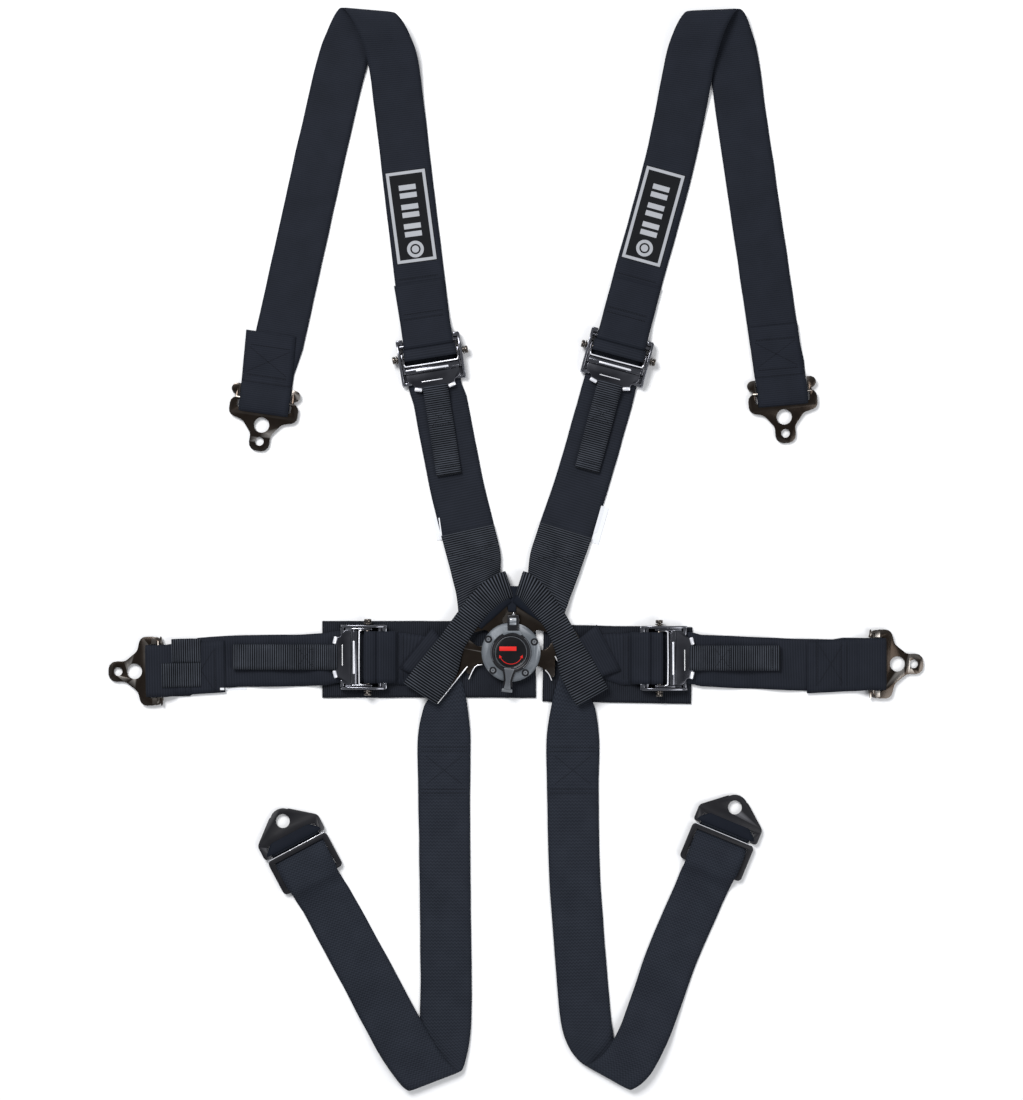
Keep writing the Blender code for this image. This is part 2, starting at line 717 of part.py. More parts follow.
STRAP_RUNS = {
    "left": [
        (-76.0, 149.5, ON_FLOOR, 11.0, 54.0),
        (-60.5, 69.5, ON_FLOOR, 12.0, 54.0),
        (-48.5, 19.5, ON_FLOOR, 12.5, 54.0),
        (-41.0, -10.5, 2.0, 15.0, 53.0),
        (-38.0, -34.0, 2.9, 24.0, 48.0),
    ],
    "right": [
        (90.0, 149.5, ON_FLOOR, -15.5, 54.0),
        (67.0, 69.5, ON_FLOOR, -17.0, 54.0),
        (50.0, 19.5, ON_FLOOR, -17.0, 54.0),
        (40.0, -10.5, 2.0, -19.0, 53.0),
        (33.8, -34.0, 2.9, -24.0, 48.0),
    ],
}
TONGUE_TURNS = {"left": 32.0, "right": -32.0}
LABELS = {"left": Place(-105.0, 334.0, 7.0, 2.35), "right": Place(138.5, 334.0, -14.0, 2.35)}


def shoulders():
    for side in ("left", "right"):
        adjuster(f"shoulder_{side}", SHOULDER_ADJUSTERS[side])
        anchor_bracket(f"shoulder_anchor_{side}", SHOULDER_BRACKETS[side])
        shoulder_belt(side, SHOULDER_ADJUSTERS[side], SHOULDER_BRACKETS[side], BELT_RUNS[side])
        lower_strap(side, SHOULDER_ADJUSTERS[side], STRAP_RUNS[side], TONGUE_TURNS[side])
        shoulder_tongue(side)
        label = rounded([(20.5, 46, 2), (-20.5, 46, 2), (-20.5, -46, 2), (20.5, -46, 2)], 2)
        hub = LABELS[side].empty(f"label_{side}_place")
        add_object(f"shoulder_label_{side}", plate_mesh("label", [label], 0.6), SILVER_PRINT, hub)


# ---------------------------------------------------------------- lap belts
PAD_TOP = 2.0
ON_PAD = PAD_TOP + GAP + WEB / 2
PADS = {"left": (Place(-87.0, -110.0, 0.0, PAD_TOP / 2), 214.0), "right": (Place(101.5, -115.0, -1.0, PAD_TOP / 2), 149.0)}
LAP_ADJUSTERS = {"left": Place(-153.0, -107.5, -90.0, PAD_TOP + GAP), "right": Place(148.0, -108.5, 90.0, PAD_TOP + GAP)}
LAP_BRACKETS = {"left": Place(-357.2, -121.5, -89.0), "right": Place(357.1, -114.5, 90.0)}
LAP_RUNS = {
    "left": [
        (-190.0, -109.5, 4.0, -88.0),
        (-197.0, -110.0, 3.3, -87.5),
        (-207.0, -110.5, 1.8, -87.5),
        (-219.0, -111.0, ON_FLOOR, -87.0),
        (-279.0, -113.5, ON_FLOOR, -87.5),
        (-318.0, -117.0, ON_FLOOR, -88.0),
    ],
    "right": [
        (185.0, -111.0, 3.6, 90.0),
        (196.0, -111.5, 2.2, 90.0),
        (214.0, -112.5, ON_FLOOR, 91.0),
        (276.0, -115.0, ON_FLOOR, 92.0),
        (318.0, -116.0, ON_FLOOR, 91.0),
    ],
}
SEWN_RUNS = {
    "left": [(-112.0, -109.5, ON_PAD, -90.0, 52.0), (-99.0, -110.5, ON_PAD, -104.0, 50.0)],
    "right": [(107.0, -110.0, ON_PAD, 90.0, 52.0), (94.0, -109.0, ON_PAD, 102.0, 50.0)],
}


def lap(side):
    pad_place, length = PADS[side]
    half = length / 2
    pad = rounded([(half, 38.5, 2), (-half, 38.5, 2), (-half, -38.5, 2), (half, -38.5, 2)], 2)
    add_object("lap_pad_" + side, plate_mesh("pad", [pad], PAD_TOP), WEBBING, pad_place.empty(f"pad_{side}_place"))
    place = LAP_ADJUSTERS[side]
    adjuster(f"lap_{side}", place)
    anchor_bracket(f"lap_anchor_{side}", LAP_BRACKETS[side])
    lap_tongue(side)

    route = roller_end(place, LAP_WIDTH)[::-1]
    route.append(from_place(place, -18.0, 2.6, LAP_WIDTH))
    route.append(from_place(place, -27.0, 1.9, LAP_WIDTH))
    route += smooth([station(*spot_, LAP_WIDTH) for spot_ in LAP_RUNS[side]], 4)
    route += anchor_end(LAP_BRACKETS[side], LAP_WIDTH, 66.0)
    strap("lap_belt_" + side, route)

    eye = EYES[side]
    turn = math.degrees(math.atan2(eye.along.y, eye.along.x))
    if side == "right":
        turn += 180.0
    bar = Place(*eye.world(WRAP_BAR, 19.0), turn)
    along, height = REAR_ROD_AT
    route = [from_place(place, along + 17.0, 5.2 - PAD_TOP, LAP_WIDTH), from_place(place, along + 10.0, 6.6, LAP_WIDTH)]
    route += loop_round(place, along, place.height + height, REAR_LOOP, LAP_WIDTH, upward=False)
    route += [station(*spot_) for spot_ in SEWN_RUNS[side]]
    rise = TONGUE_MID - ON_PAD
    route += loop_round(bar, 0.0, TONGUE_MID, rise, 44.0, side=1)
    route.append(from_place(bar, -8.0, 7.6, 46.0))
    route.append(from_place(bar, -23.0, ON_PAD + WEB + GAP + 0.15, 52.0))
    strap("lap_sewn_belt_" + side, route)


# ---------------------------------------------------------------- leg straps
SLIDES = {"left": Place(-210.8, -314.1, 28.0), "right": Place(200.8, -302.5, -22.4)}
LEG_ROD = 25.5
LEG_RUNS = {
    "left": [
        (-71.0, -156.0, 3.3, 8.0, 44.0),
        (-72.0, -190.0, 1.0, 0.0, 53.0),
        (-72.0, -240.0, ON_FLOOR, 0.0, 52.0),
        (-71.0, -340.0, ON_FLOOR, 0.0, 51.0),
        (-70.0, -440.0, ON_FLOOR, 0.0, 51.5),
        (-71.5, -485.0, 1.8, 3.0, 52.0),
        (-75.5, -515.0, 3.4, 12.0, 52.0),
        (-79.5, -530.0, 6.6, 20.0, 52.0),
        (-87.0, -528.0, 9.4, 23.0, 52.0),
        (-98.0, -515.0, 9.4, 25.0, 52.0),
        (-112.0, -494.0, 7.6, 27.0, 53.0),
        (-130.0, -462.0, 3.2, 28.0, 53.0),
        (-152.0, -421.0, ON_FLOOR, 28.0, 53.0),
        (-190.0, -351.0, ON_FLOOR, 28.0, 52.0),
    ],
    "right": [
        (58.0, -156.0, 3.3, -10.0, 44.0),
        (57.0, -190.0, 1.0, 0.0, 53.0),
        (57.0, -240.0, ON_FLOOR, 0.0, 52.0),
        (59.0, -330.0, ON_FLOOR, 1.0, 51.0),
        (65.0, -415.0, ON_FLOOR, 3.0, 51.0),
        (70.0, -470.0, 1.8, 0.0, 51.0),
        (77.0, -503.0, 3.4, -14.0, 51.0),
        (88.5, -525.5, 6.6, -28.0, 50.0),
        (99.0, -524.0, 9.4, -30.0, 50.0),
        (113.0, -511.0, 9.4, -27.0, 50.0),
        (126.0, -488.0, 7.6, -20.0, 50.0),
        (139.0, -456.0, 3.2, -18.0, 50.5),
        (156.0, -408.0, ON_FLOOR, -21.0, 51.0),
        (183.0, -345.0, ON_FLOOR, -22.4, 51.0),
    ],
}
SLIP_RUNS = {
    "left": [
        (-96.0, -143.5, 11.4, -33.0, 39.0),
        (-76.0, -117.0, 11.4, -34.0, 38.0),
        (-64.0, -94.0, 11.4, -34.0, 27.0),
        (-52.0, -75.0, 11.4, -35.0, 25.0),
        (-38.0, -57.0, 11.4, -40.0, 26.0),
        (-25.0, -44.0, 11.4, -52.0, 27.0),
    ],
    "right": [
        (76.0, -147.0, 11.4, 29.0, 36.0),
        (61.0, -119.0, 11.4, 27.0, 36.0),
        (51.0, -95.0, 11.4, 27.0, 27.0),
        (40.0, -73.0, 11.4, 32.0, 25.0),
        (28.0, -56.0, 11.4, 42.0, 26.0),
        (17.5, -44.0, 11.4, 54.0, 27.0),
    ],
}
SLIP_TURNS = {"left": Place(-11.9, -36.0, -72.0), "right": Place(8.4, -36.0, 72.0)}


def leg(side):
    place = SLIDES[side]
    eye = EYES[side]
    turn = math.degrees(math.atan2(eye.along.y, eye.along.x))
    turn += 180.0 if side == "left" else 0.0
    first = eye.world(10.0, eye.length / 2 + 1.0)
    route = smooth([station(*first, 3.4, turn, 36.0), *[station(*spot_) for spot_ in LEG_RUNS[side]]], 4)
    rising = ((26.0, 1.2), (19.0, 1.6), (13.5, 1.6), (9.2, 4.2), (5.0, 6.8))
    path = [(-along, height) for along, height in rising] + list(rising[::-1])
    for along, height in path:
        route.append(from_place(place, along, height, LEG_WIDTH))
    route += loop_round(place, LEG_ROD, ROD_HEIGHT, LOOP, LEG_WIDTH, side=1)
    route.append(from_place(place, LEG_ROD - 5.0, 7.0, LEG_WIDTH))
    strap("leg_strap_" + side, route)
    slide_frame("leg_slide_" + side, place)
    leg_anchor("leg_anchor_" + side, place, LEG_ROD)

    bend = SLIP_TURNS[side]
    radius = (11.4 - ON_FLOOR) / 2
    route = smooth([station(*spot_) for spot_ in SLIP_RUNS[side]], 3)
    route += loop_round(bend, 0.0, ON_FLOOR + radius, radius, 27.0, side=1, upward=False)
    route.append(from_place(bend, -26.0, ON_FLOOR, 27.0))
    strap("leg_loop_" + side, route)


buckle()
shoulders()
for lap_side in ("left", "right"):
    lap(lap_side)
    leg(lap_side)
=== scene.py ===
# %% [markdown]
# # A racing harness laid out flat
# Two shoulder belts, two lap belts on pads and two leg straps meet at a rotary buckle. The webbing is
# woven polyester 50 mm wide, and the metal is plated or painted steel. The sizes, places and joints come
# from the solid model, and this lesson gives them their cloth, their stitching and their finishes.

import math

import bmesh
import bpy
from mathutils import Matrix, Vector, noise


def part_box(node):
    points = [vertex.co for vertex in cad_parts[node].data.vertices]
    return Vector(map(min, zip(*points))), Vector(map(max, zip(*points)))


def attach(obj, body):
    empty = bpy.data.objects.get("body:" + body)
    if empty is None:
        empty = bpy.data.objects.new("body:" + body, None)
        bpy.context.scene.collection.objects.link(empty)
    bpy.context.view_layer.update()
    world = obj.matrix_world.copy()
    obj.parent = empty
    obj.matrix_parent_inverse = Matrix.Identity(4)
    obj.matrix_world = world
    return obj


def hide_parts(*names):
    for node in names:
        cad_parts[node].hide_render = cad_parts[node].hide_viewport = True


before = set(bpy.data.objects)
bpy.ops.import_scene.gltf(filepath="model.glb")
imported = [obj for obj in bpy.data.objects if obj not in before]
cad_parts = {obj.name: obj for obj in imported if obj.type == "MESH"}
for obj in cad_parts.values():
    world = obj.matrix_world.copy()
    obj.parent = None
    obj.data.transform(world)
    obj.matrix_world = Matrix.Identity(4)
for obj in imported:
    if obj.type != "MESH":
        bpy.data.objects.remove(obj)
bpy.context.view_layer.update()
bpy.ops.object.select_all(action="DESELECT")
MM = 0.001
SIDES = ("left", "right")


def linked(name, data):
    made = bpy.data.objects.new(name, data)
    bpy.context.scene.collection.objects.link(made)
    return made


def picked(piece):
    """Makes a piece the only selected one, so that an operator acts on it alone."""
    bpy.ops.object.select_all(action="DESELECT")
    bpy.context.view_layer.objects.active = piece
    piece.select_set(True)
    return piece


# %% [markdown]
# ## Camera, floor and light
# The harness lies on a pale table top and is seen from straight above. A long lens keeps the outer belts
# from leaning. One large soft light near the shoulder end gives the plated metal something to reflect, and
# a weaker one fills from the other side.

# %% Camera
LENS, SENSOR = 85, 36
VIEW_HEIGHT = 1.1
camera = bpy.data.cameras.new("overhead")
camera.lens = LENS
camera.sensor_width = SENSOR
camera.clip_end = 20
eye = linked("overhead", camera)
eye.location = (-0.0045, -0.0005, VIEW_HEIGHT * LENS / SENSOR + 0.005)
bpy.context.scene.camera = eye
print("camera height:", round(eye.location.z, 3), "m")

# %% Floor
bpy.ops.mesh.primitive_plane_add(size=8, location=(0, 0, -0.0004))
floor = bpy.context.object
floor.name = "table_top"
floor_paint = bpy.data.materials.new("pale_table")
floor_paint.use_nodes = True
paint = floor_paint.node_tree.nodes["Principled BSDF"].inputs
paint["Base Color"].default_value = (0.86, 0.86, 0.87, 1)
paint["Roughness"].default_value = 0.8
floor.data.materials.append(floor_paint)


# %% Light
def soft_light(name, place, size, power):
    """A square area light that points at the middle of the table."""
    lamp = bpy.data.lights.new(name, "AREA")
    lamp.shape = "SQUARE"
    lamp.size = size
    lamp.energy = power
    holder = linked(name, lamp)
    holder.location = place
    holder.rotation_euler = (-Vector(place)).to_track_quat("-Z", "Y").to_euler()


soft_light("key", (-1.1, 1.5, 2.5), 1.2, 92)
soft_light("fill", (1.7, -1.0, 2.2), 1.6, 30)
world = bpy.data.worlds.new("studio")
world.use_nodes = True
world.node_tree.nodes["Background"].inputs["Color"].default_value = (0.93, 0.96, 1.0, 1)
world.node_tree.nodes["Background"].inputs["Strength"].default_value = 0.42
bpy.context.scene.world = world
bpy.context.scene.view_settings.view_transform = "Standard"

# %% [markdown]
# ## Finishes
# Two effects are shared, so each is a node group. The first is the weave of a belt. It reads the belt's own UV
# map, whose units are metres across and along, so the threads follow every fold. The second gives plated or
# painted metal its smudges, which change how it shines, and a painted highlight that makes its outside edges
# paler.


# %% Node helpers
def add_node(tree, kind, **values):
    made = tree.nodes.new(kind)
    for key, value in values.items():
        setattr(made, key, value)
    return made


def maths(tree, operation, first, second=None, third=None):
    made = add_node(tree, "ShaderNodeMath", operation=operation)
    for socket, value in zip(made.inputs, (first, second, third)):
        if value is None:
            continue
        if isinstance(value, (int, float)):
            socket.default_value = value
        else:
            tree.links.new(value, socket)
    return made.outputs[0]


def new_group(name, inputs, outputs):
    tree = bpy.data.node_groups.new(name, "ShaderNodeTree")
    for label, kind in inputs:
        tree.interface.new_socket(label, in_out="INPUT", socket_type=kind)
    for label in outputs:
        tree.interface.new_socket(label, in_out="OUTPUT", socket_type="NodeSocketFloat")
    return tree, add_node(tree, "NodeGroupInput"), add_node(tree, "NodeGroupOutput")


# %% Weave group
NUMBER = "NodeSocketFloat"
WEAVE, given, made = new_group(
    "woven_webbing",
    [("Vector", "NodeSocketVector"), ("Thread", NUMBER), ("Rib", NUMBER), ("Rib Share", NUMBER)],
    ["Height", "Crown Highlight And Mottle"],
)
axes = add_node(WEAVE, "ShaderNodeSeparateXYZ")
WEAVE.links.new(given.outputs["Vector"], axes.inputs[0])


def ripple(shape, axis, pitch):
    turns = maths(WEAVE, "DIVIDE", axes.outputs[axis], given.outputs[pitch])
    return maths(WEAVE, shape, maths(WEAVE, "MULTIPLY", turns, math.tau))


threads = maths(WEAVE, "MULTIPLY", ripple("SINE", 0, "Thread"), ripple("SINE", 1, "Thread"))
plain = maths(WEAVE, "MULTIPLY_ADD", threads, 0.5, 0.5)
rib = maths(WEAVE, "MULTIPLY_ADD", ripple("COSINE", 1, "Rib"), 0.5, 0.5)
share = given.outputs["Rib Share"]
rest = maths(WEAVE, "MULTIPLY", plain, maths(WEAVE, "SUBTRACT", 1.0, share))
height = maths(WEAVE, "MULTIPLY_ADD", rib, share, rest)
slow = add_node(WEAVE, "ShaderNodeTexNoise")
slow.inputs["Scale"].default_value = 38.0
slow.inputs["Detail"].default_value = 5.0
WEAVE.links.new(given.outputs["Vector"], slow.inputs["Vector"])
cloudy = maths(WEAVE, "MULTIPLY", slow.outputs["Fac"], 0.42)
# The crowns of threads and ribs are painted paler than the gaps between them. This is a painted highlight and
# painted shade taken from the weave's height, and the slow noise adds random mottle.
tone = maths(WEAVE, "MULTIPLY_ADD", height, 0.62, cloudy)
WEAVE.links.new(height, made.inputs["Height"])
WEAVE.links.new(tone, made.inputs["Crown Highlight And Mottle"])

# %% Smudge and painted edge highlight group
SMUDGE_AND_EDGE_HIGHLIGHT, given, made = new_group(
    "metal_smudge_and_edge_highlight",
    [("Vector", "NodeSocketVector"), ("Grain", NUMBER), ("Edge", NUMBER)],
    ["Smudge", "Grain", "Edge"],
)
broad = add_node(SMUDGE_AND_EDGE_HIGHLIGHT, "ShaderNodeTexNoise")
broad.inputs["Scale"].default_value = 55.0
broad.inputs["Detail"].default_value = 6.0
fine = add_node(SMUDGE_AND_EDGE_HIGHLIGHT, "ShaderNodeTexNoise")
fine.inputs["Detail"].default_value = 3.0
for texture in (broad, fine):
    SMUDGE_AND_EDGE_HIGHLIGHT.links.new(given.outputs["Vector"], texture.inputs["Vector"])
SMUDGE_AND_EDGE_HIGHLIGHT.links.new(given.outputs["Grain"], fine.inputs["Scale"])
shape = add_node(SMUDGE_AND_EDGE_HIGHLIGHT, "ShaderNodeNewGeometry")
# Outside edges, found by pointiness, are painted paler as a highlight, broken up by the smudge noise.
convex = maths(SMUDGE_AND_EDGE_HIGHLIGHT, "SUBTRACT", shape.outputs["Pointiness"], 0.52)
sharp = maths(SMUDGE_AND_EDGE_HIGHLIGHT, "MULTIPLY", convex, given.outputs["Edge"])
patchy = maths(SMUDGE_AND_EDGE_HIGHLIGHT, "ADD", broad.outputs["Fac"], 0.45)
edge_highlight = add_node(SMUDGE_AND_EDGE_HIGHLIGHT, "ShaderNodeClamp")
SMUDGE_AND_EDGE_HIGHLIGHT.links.new(maths(SMUDGE_AND_EDGE_HIGHLIGHT, "MULTIPLY", sharp, patchy), edge_highlight.inputs["Value"])
SMUDGE_AND_EDGE_HIGHLIGHT.links.new(broad.outputs["Fac"], made.inputs["Smudge"])
SMUDGE_AND_EDGE_HIGHLIGHT.links.new(fine.outputs["Fac"], made.inputs["Grain"])
SMUDGE_AND_EDGE_HIGHLIGHT.links.new(edge_highlight.outputs[0], made.inputs["Edge"])
print("groups:", [group.name for group in bpy.data.node_groups])


# %% [markdown]
# A finish takes its colour between a dark and a light value. On cloth this paints a highlight on each thread's
# crown and shade in the gap beside it, and on metal it paints a highlight along the outside edges. What stays
# the same all over is set on the shader.


# %% Cloth and metal finishes
def start_finish(name, rough, metal):
    made = bpy.data.materials.new(name)
    made.use_nodes = True
    shader = made.node_tree.nodes["Principled BSDF"]
    shader.inputs["Roughness"].default_value = rough
    shader.inputs["Metallic"].default_value = metal
    return made, made.node_tree, shader


def place_group(tree, group, vector, **values):
    made = add_node(tree, "ShaderNodeGroup")
    made.node_tree = group
    tree.links.new(vector, made.inputs["Vector"])
    for label, value in values.items():
        made.inputs[label.replace("_", " ")].default_value = value
    return made


def two_tone(tree, shader, factor, dark, light):
    ramp = add_node(tree, "ShaderNodeValToRGB")
    ramp.color_ramp.elements[0].color = (*dark, 1)
    ramp.color_ramp.elements[1].color = (*light, 1)
    tree.links.new(factor, ramp.inputs["Fac"])
    tree.links.new(ramp.outputs["Color"], shader.inputs["Base Color"])
    return ramp


def bumped(tree, shader, height, strength, depth):
    bump = add_node(tree, "ShaderNodeBump")
    bump.inputs["Strength"].default_value = strength
    bump.inputs["Distance"].default_value = depth * MM
    tree.links.new(height, bump.inputs["Height"])
    tree.links.new(bump.outputs["Normal"], shader.inputs["Normal"])


def cloth_finish(name, thread, rib, share, dark, light, strength=0.7, depth=0.4, start=0.0):
    made, tree, shader = start_finish(name, 0.72, 0.0)
    uv = add_node(tree, "ShaderNodeUVMap", uv_map="UVMap")
    weave = place_group(tree, WEAVE, uv.outputs[0], Thread=thread * MM, Rib=rib * MM, Rib_Share=share)
    two_tone(tree, shader, weave.outputs["Crown Highlight And Mottle"], dark, light).color_ramp.elements[0].position = start
    bumped(tree, shader, weave.outputs["Height"], strength, depth)
    shader.inputs["Specular IOR Level"].default_value = 0.09
    shader.inputs["Sheen Weight"].default_value = 0.015
    shader.inputs["Sheen Roughness"].default_value = 0.45
    return made


def metal_finish(name, dark, light, rough, metal=1.0, grain=900.0, edge=9.0, strength=0.08, coat=0.0):
    made, tree, shader = start_finish(name, rough, metal)
    coordinates = add_node(tree, "ShaderNodeTexCoord")
    smudge_and_edge_highlight = place_group(tree, SMUDGE_AND_EDGE_HIGHLIGHT, coordinates.outputs["Object"], Grain=grain, Edge=edge)
    factor = maths(tree, "MULTIPLY_ADD", smudge_and_edge_highlight.outputs["Smudge"], 0.05, smudge_and_edge_highlight.outputs["Edge"])
    two_tone(tree, shader, factor, dark, light)
    spread = add_node(tree, "ShaderNodeMapRange")
    spread.inputs["To Min"].default_value = max(rough - 0.09, 0.04)
    spread.inputs["To Max"].default_value = rough + 0.16
    tree.links.new(smudge_and_edge_highlight.outputs["Smudge"], spread.inputs["Value"])
    tree.links.new(spread.outputs[0], shader.inputs["Roughness"])
    bumped(tree, shader, smudge_and_edge_highlight.outputs["Grain"], strength, 0.25)
    shader.inputs["Coat Weight"].default_value = coat
    shader.inputs["Coat Roughness"].default_value = 0.12
    return made


# %% All finishes
RIB_PITCH = 2.2
LOOP_PITCH = 2.6
# For each cloth the dark value is the painted shade between threads and ribs, and the light value is the
# painted highlight on their crowns.
BELT = cloth_finish("belt_weave", 1.5, 2.1, 0.45, (0.003, 0.004, 0.006), (0.017, 0.020, 0.030))
STRAP = cloth_finish("strap_weave", 1.7, 2.6, 0.5, (0.003, 0.004, 0.006), (0.019, 0.022, 0.032))
LEG = cloth_finish(
    "leg_weave", 3.3, 3.3, 0.25, (0.003, 0.004, 0.007), (0.026, 0.031, 0.043), 0.9, 0.6
)
RIBBED = cloth_finish(
    "ribbed_weave", 1.4, RIB_PITCH, 0.85, (0.001, 0.0015, 0.0025), (0.072, 0.080, 0.100), 1.0, 0.7, 0.34
)
LOOP = cloth_finish(
    "loop_weave", 1.4, LOOP_PITCH, 0.92, (0.001, 0.0015, 0.0025), (0.085, 0.094, 0.116), 1.0, 0.8, 0.38
)
PAD = cloth_finish(
    "pad_weave", 1.4, 2.05, 0.8, (0.0015, 0.002, 0.003), (0.020, 0.023, 0.032), 0.9, 0.6
)
SMOOTH = cloth_finish(
    "smooth_lining", 0.9, 1.2, 0.5, (0.003, 0.004, 0.007), (0.010, 0.013, 0.021), 0.4, 0.2
)
THREAD = cloth_finish("sewing_thread", 0.6, 0.8, 0.5, (0.001, 0.001, 0.0015), (0.006, 0.006, 0.008))
TAG = cloth_finish("white_tag", 0.7, 0.9, 0.5, (0.62, 0.63, 0.66), (0.80, 0.81, 0.84), 0.3, 0.2)
PATCH = cloth_finish(
    "label_ground", 0.7, 1.0, 0.5, (0.002, 0.002, 0.003), (0.011, 0.012, 0.014), 0.5, 0.2
)
PRINT = cloth_finish(
    "label_silver", 0.7, 1.0, 0.5, (0.24, 0.25, 0.27), (0.42, 0.43, 0.46), 0.4, 0.2
)
# Each metal reaches its light value only along its outside edges, where that value is a painted highlight.
NICKEL = metal_finish("black_nickel", (0.027, 0.019, 0.014), (0.42, 0.39, 0.36), 0.17, edge=9.0)
CHROME = metal_finish("black_chrome", (0.030, 0.030, 0.037), (0.50, 0.51, 0.56), 0.13, edge=8.0)
PAINT = metal_finish(
    "satin_black", (0.004, 0.004, 0.006), (0.10, 0.10, 0.11), 0.36, 0.0, 1400.0, 5.0, 0.12
)
CAST = metal_finish(
    "grey_casting", (0.085, 0.097, 0.112), (0.40, 0.42, 0.45), 0.45, 0.25, 2600.0, 5.0, 0.5
)
HANDLE = metal_finish(
    "grey_handle", (0.060, 0.066, 0.076), (0.40, 0.42, 0.45), 0.38, 0.3, 2000.0, 6.0, 0.3
)
STEEL = metal_finish("bright_steel", (0.60, 0.60, 0.62), (0.95, 0.95, 0.95), 0.16)
# This finish is near-white and partly diffuse. It is used for painted highlights: thin strips and bars laid
# where plated edges catch the light.
PAINTED_HIGHLIGHT = metal_finish("painted_highlight", (0.78, 0.79, 0.86), (1.0, 1.0, 1.0), 0.22, 0.45)
DIAL = metal_finish(
    "dial_gloss", (0.003, 0.003, 0.004), (0.07, 0.07, 0.08), 0.2, 0.0, 500.0, 3.0, 0.04
)
RED = metal_finish("dial_red", (0.55, 0.010, 0.008), (0.80, 0.04, 0.03), 0.4, 0.0, 700.0, 2.0, 0.05)
for glossy in (PAINT, DIAL, RED):
    glossy.node_tree.nodes["Principled BSDF"].inputs["Specular IOR Level"].default_value = 0.22
print("finishes:", len(bpy.data.materials))

# %% [markdown]
# ## Webbing
# A belt is a ribbon, so it is described by stations: where its middle is, how it is turned, and how wide it
# is there. The stations follow the solid model's own route. Between them the ribbon is drawn with a
# rounded edge, a slight crown and the small waves that a used belt keeps, which a plain strip lacks.


# %% Stations
class Spot:
    """A flat frame: an origin, a turn about Z and a height, in millimetres and degrees."""

    def __init__(self, x, y, turn, height=0.0):
        self.x, self.y, self.turn, self.height = x, y, turn, height

    def point(self, across, along):
        angle = math.radians(self.turn)
        x = self.x + across * math.cos(angle) - along * math.sin(angle)
        return x, self.y + across * math.sin(angle) + along * math.cos(angle)

    def station(self, along, height, width, across=0.0):
        return (*self.point(across, along), self.height + height, self.turn, width)


def smooth(stations, steps):
    made = []
    last = len(stations) - 1
    for i in range(last):
        near = [Vector(stations[min(max(k, 0), last)]) for k in (i - 1, i, i + 1, i + 2)]
        for step in range(steps):
            t = step / steps
            a = near[1] * 2
            b = (near[2] - near[0]) * t
            c = (near[0] * 2 - near[1] * 5 + near[2] * 4 - near[3]) * t * t
            d = (near[1] * 3 - near[0] - near[2] * 3 + near[3]) * t * t * t
            made.append(tuple((a + b + c + d) / 2))
    made.append(tuple(stations[last]))
    return made


def half_turn(spot, along, height, radius, width, side=-1, upward=True, steps=14):
    made = []
    for step in range(steps + 1):
        angle = math.pi * step / steps - math.pi / 2
        lift = radius * math.sin(angle)
        x, y = spot.point(0.0, along + side * radius * math.cos(angle))
        made.append((x, y, height + (lift if upward else -lift), spot.turn, width))
    return made


# %% Even rows, and what every piece gets
def resample(stations, spacing):
    """The same route with its rows a set distance apart, closer where it bends."""
    made, travelled, since = [stations[0]], [0.0], 0.0
    total = 0.0
    for here, there in zip(stations, stations[1:]):
        gap = (Vector(there[:3]) - Vector(here[:3])).length
        count = max(1, math.ceil(gap / spacing))
        for k in range(1, count + 1):
            total += gap / count
            since += gap / count
            if since < min(spacing, 1.2) * 0.5:
                continue
            share = k / count
            made.append(tuple(a + (b - a) * share for a, b in zip(here, there)))
            travelled.append(total)
            since = 0.0
    return made, travelled


def settle(piece, finish, body, slot, replaces=()):
    """Gives a finished piece its material and says which body it rides."""
    piece.data.materials.clear()
    piece.data.materials.append(finish)
    bpy.ops.object.select_all(action="DESELECT")
    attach(piece, body)
    if replaces:
        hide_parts(*replaces)
    return piece


def built(name, bm):
    """Ends an edit: the bmesh becomes an object whose faces all look outwards."""
    bmesh.ops.recalc_face_normals(bm, faces=bm.faces)
    mesh = bpy.data.meshes.new(name)
    bm.to_mesh(mesh)
    bm.free()
    return linked(name, mesh)


def add_face(bm, uv_layer, corners):
    face = bm.faces.new([vertex for vertex, _ in corners])
    for loop, (_, uv) in zip(face.loops, corners):
        loop[uv_layer].uv = uv


# %% The ribbon
EDGE_ROUND = 1.1
EDGE_THIN = 0.42
TABLE_GAP = 0.02


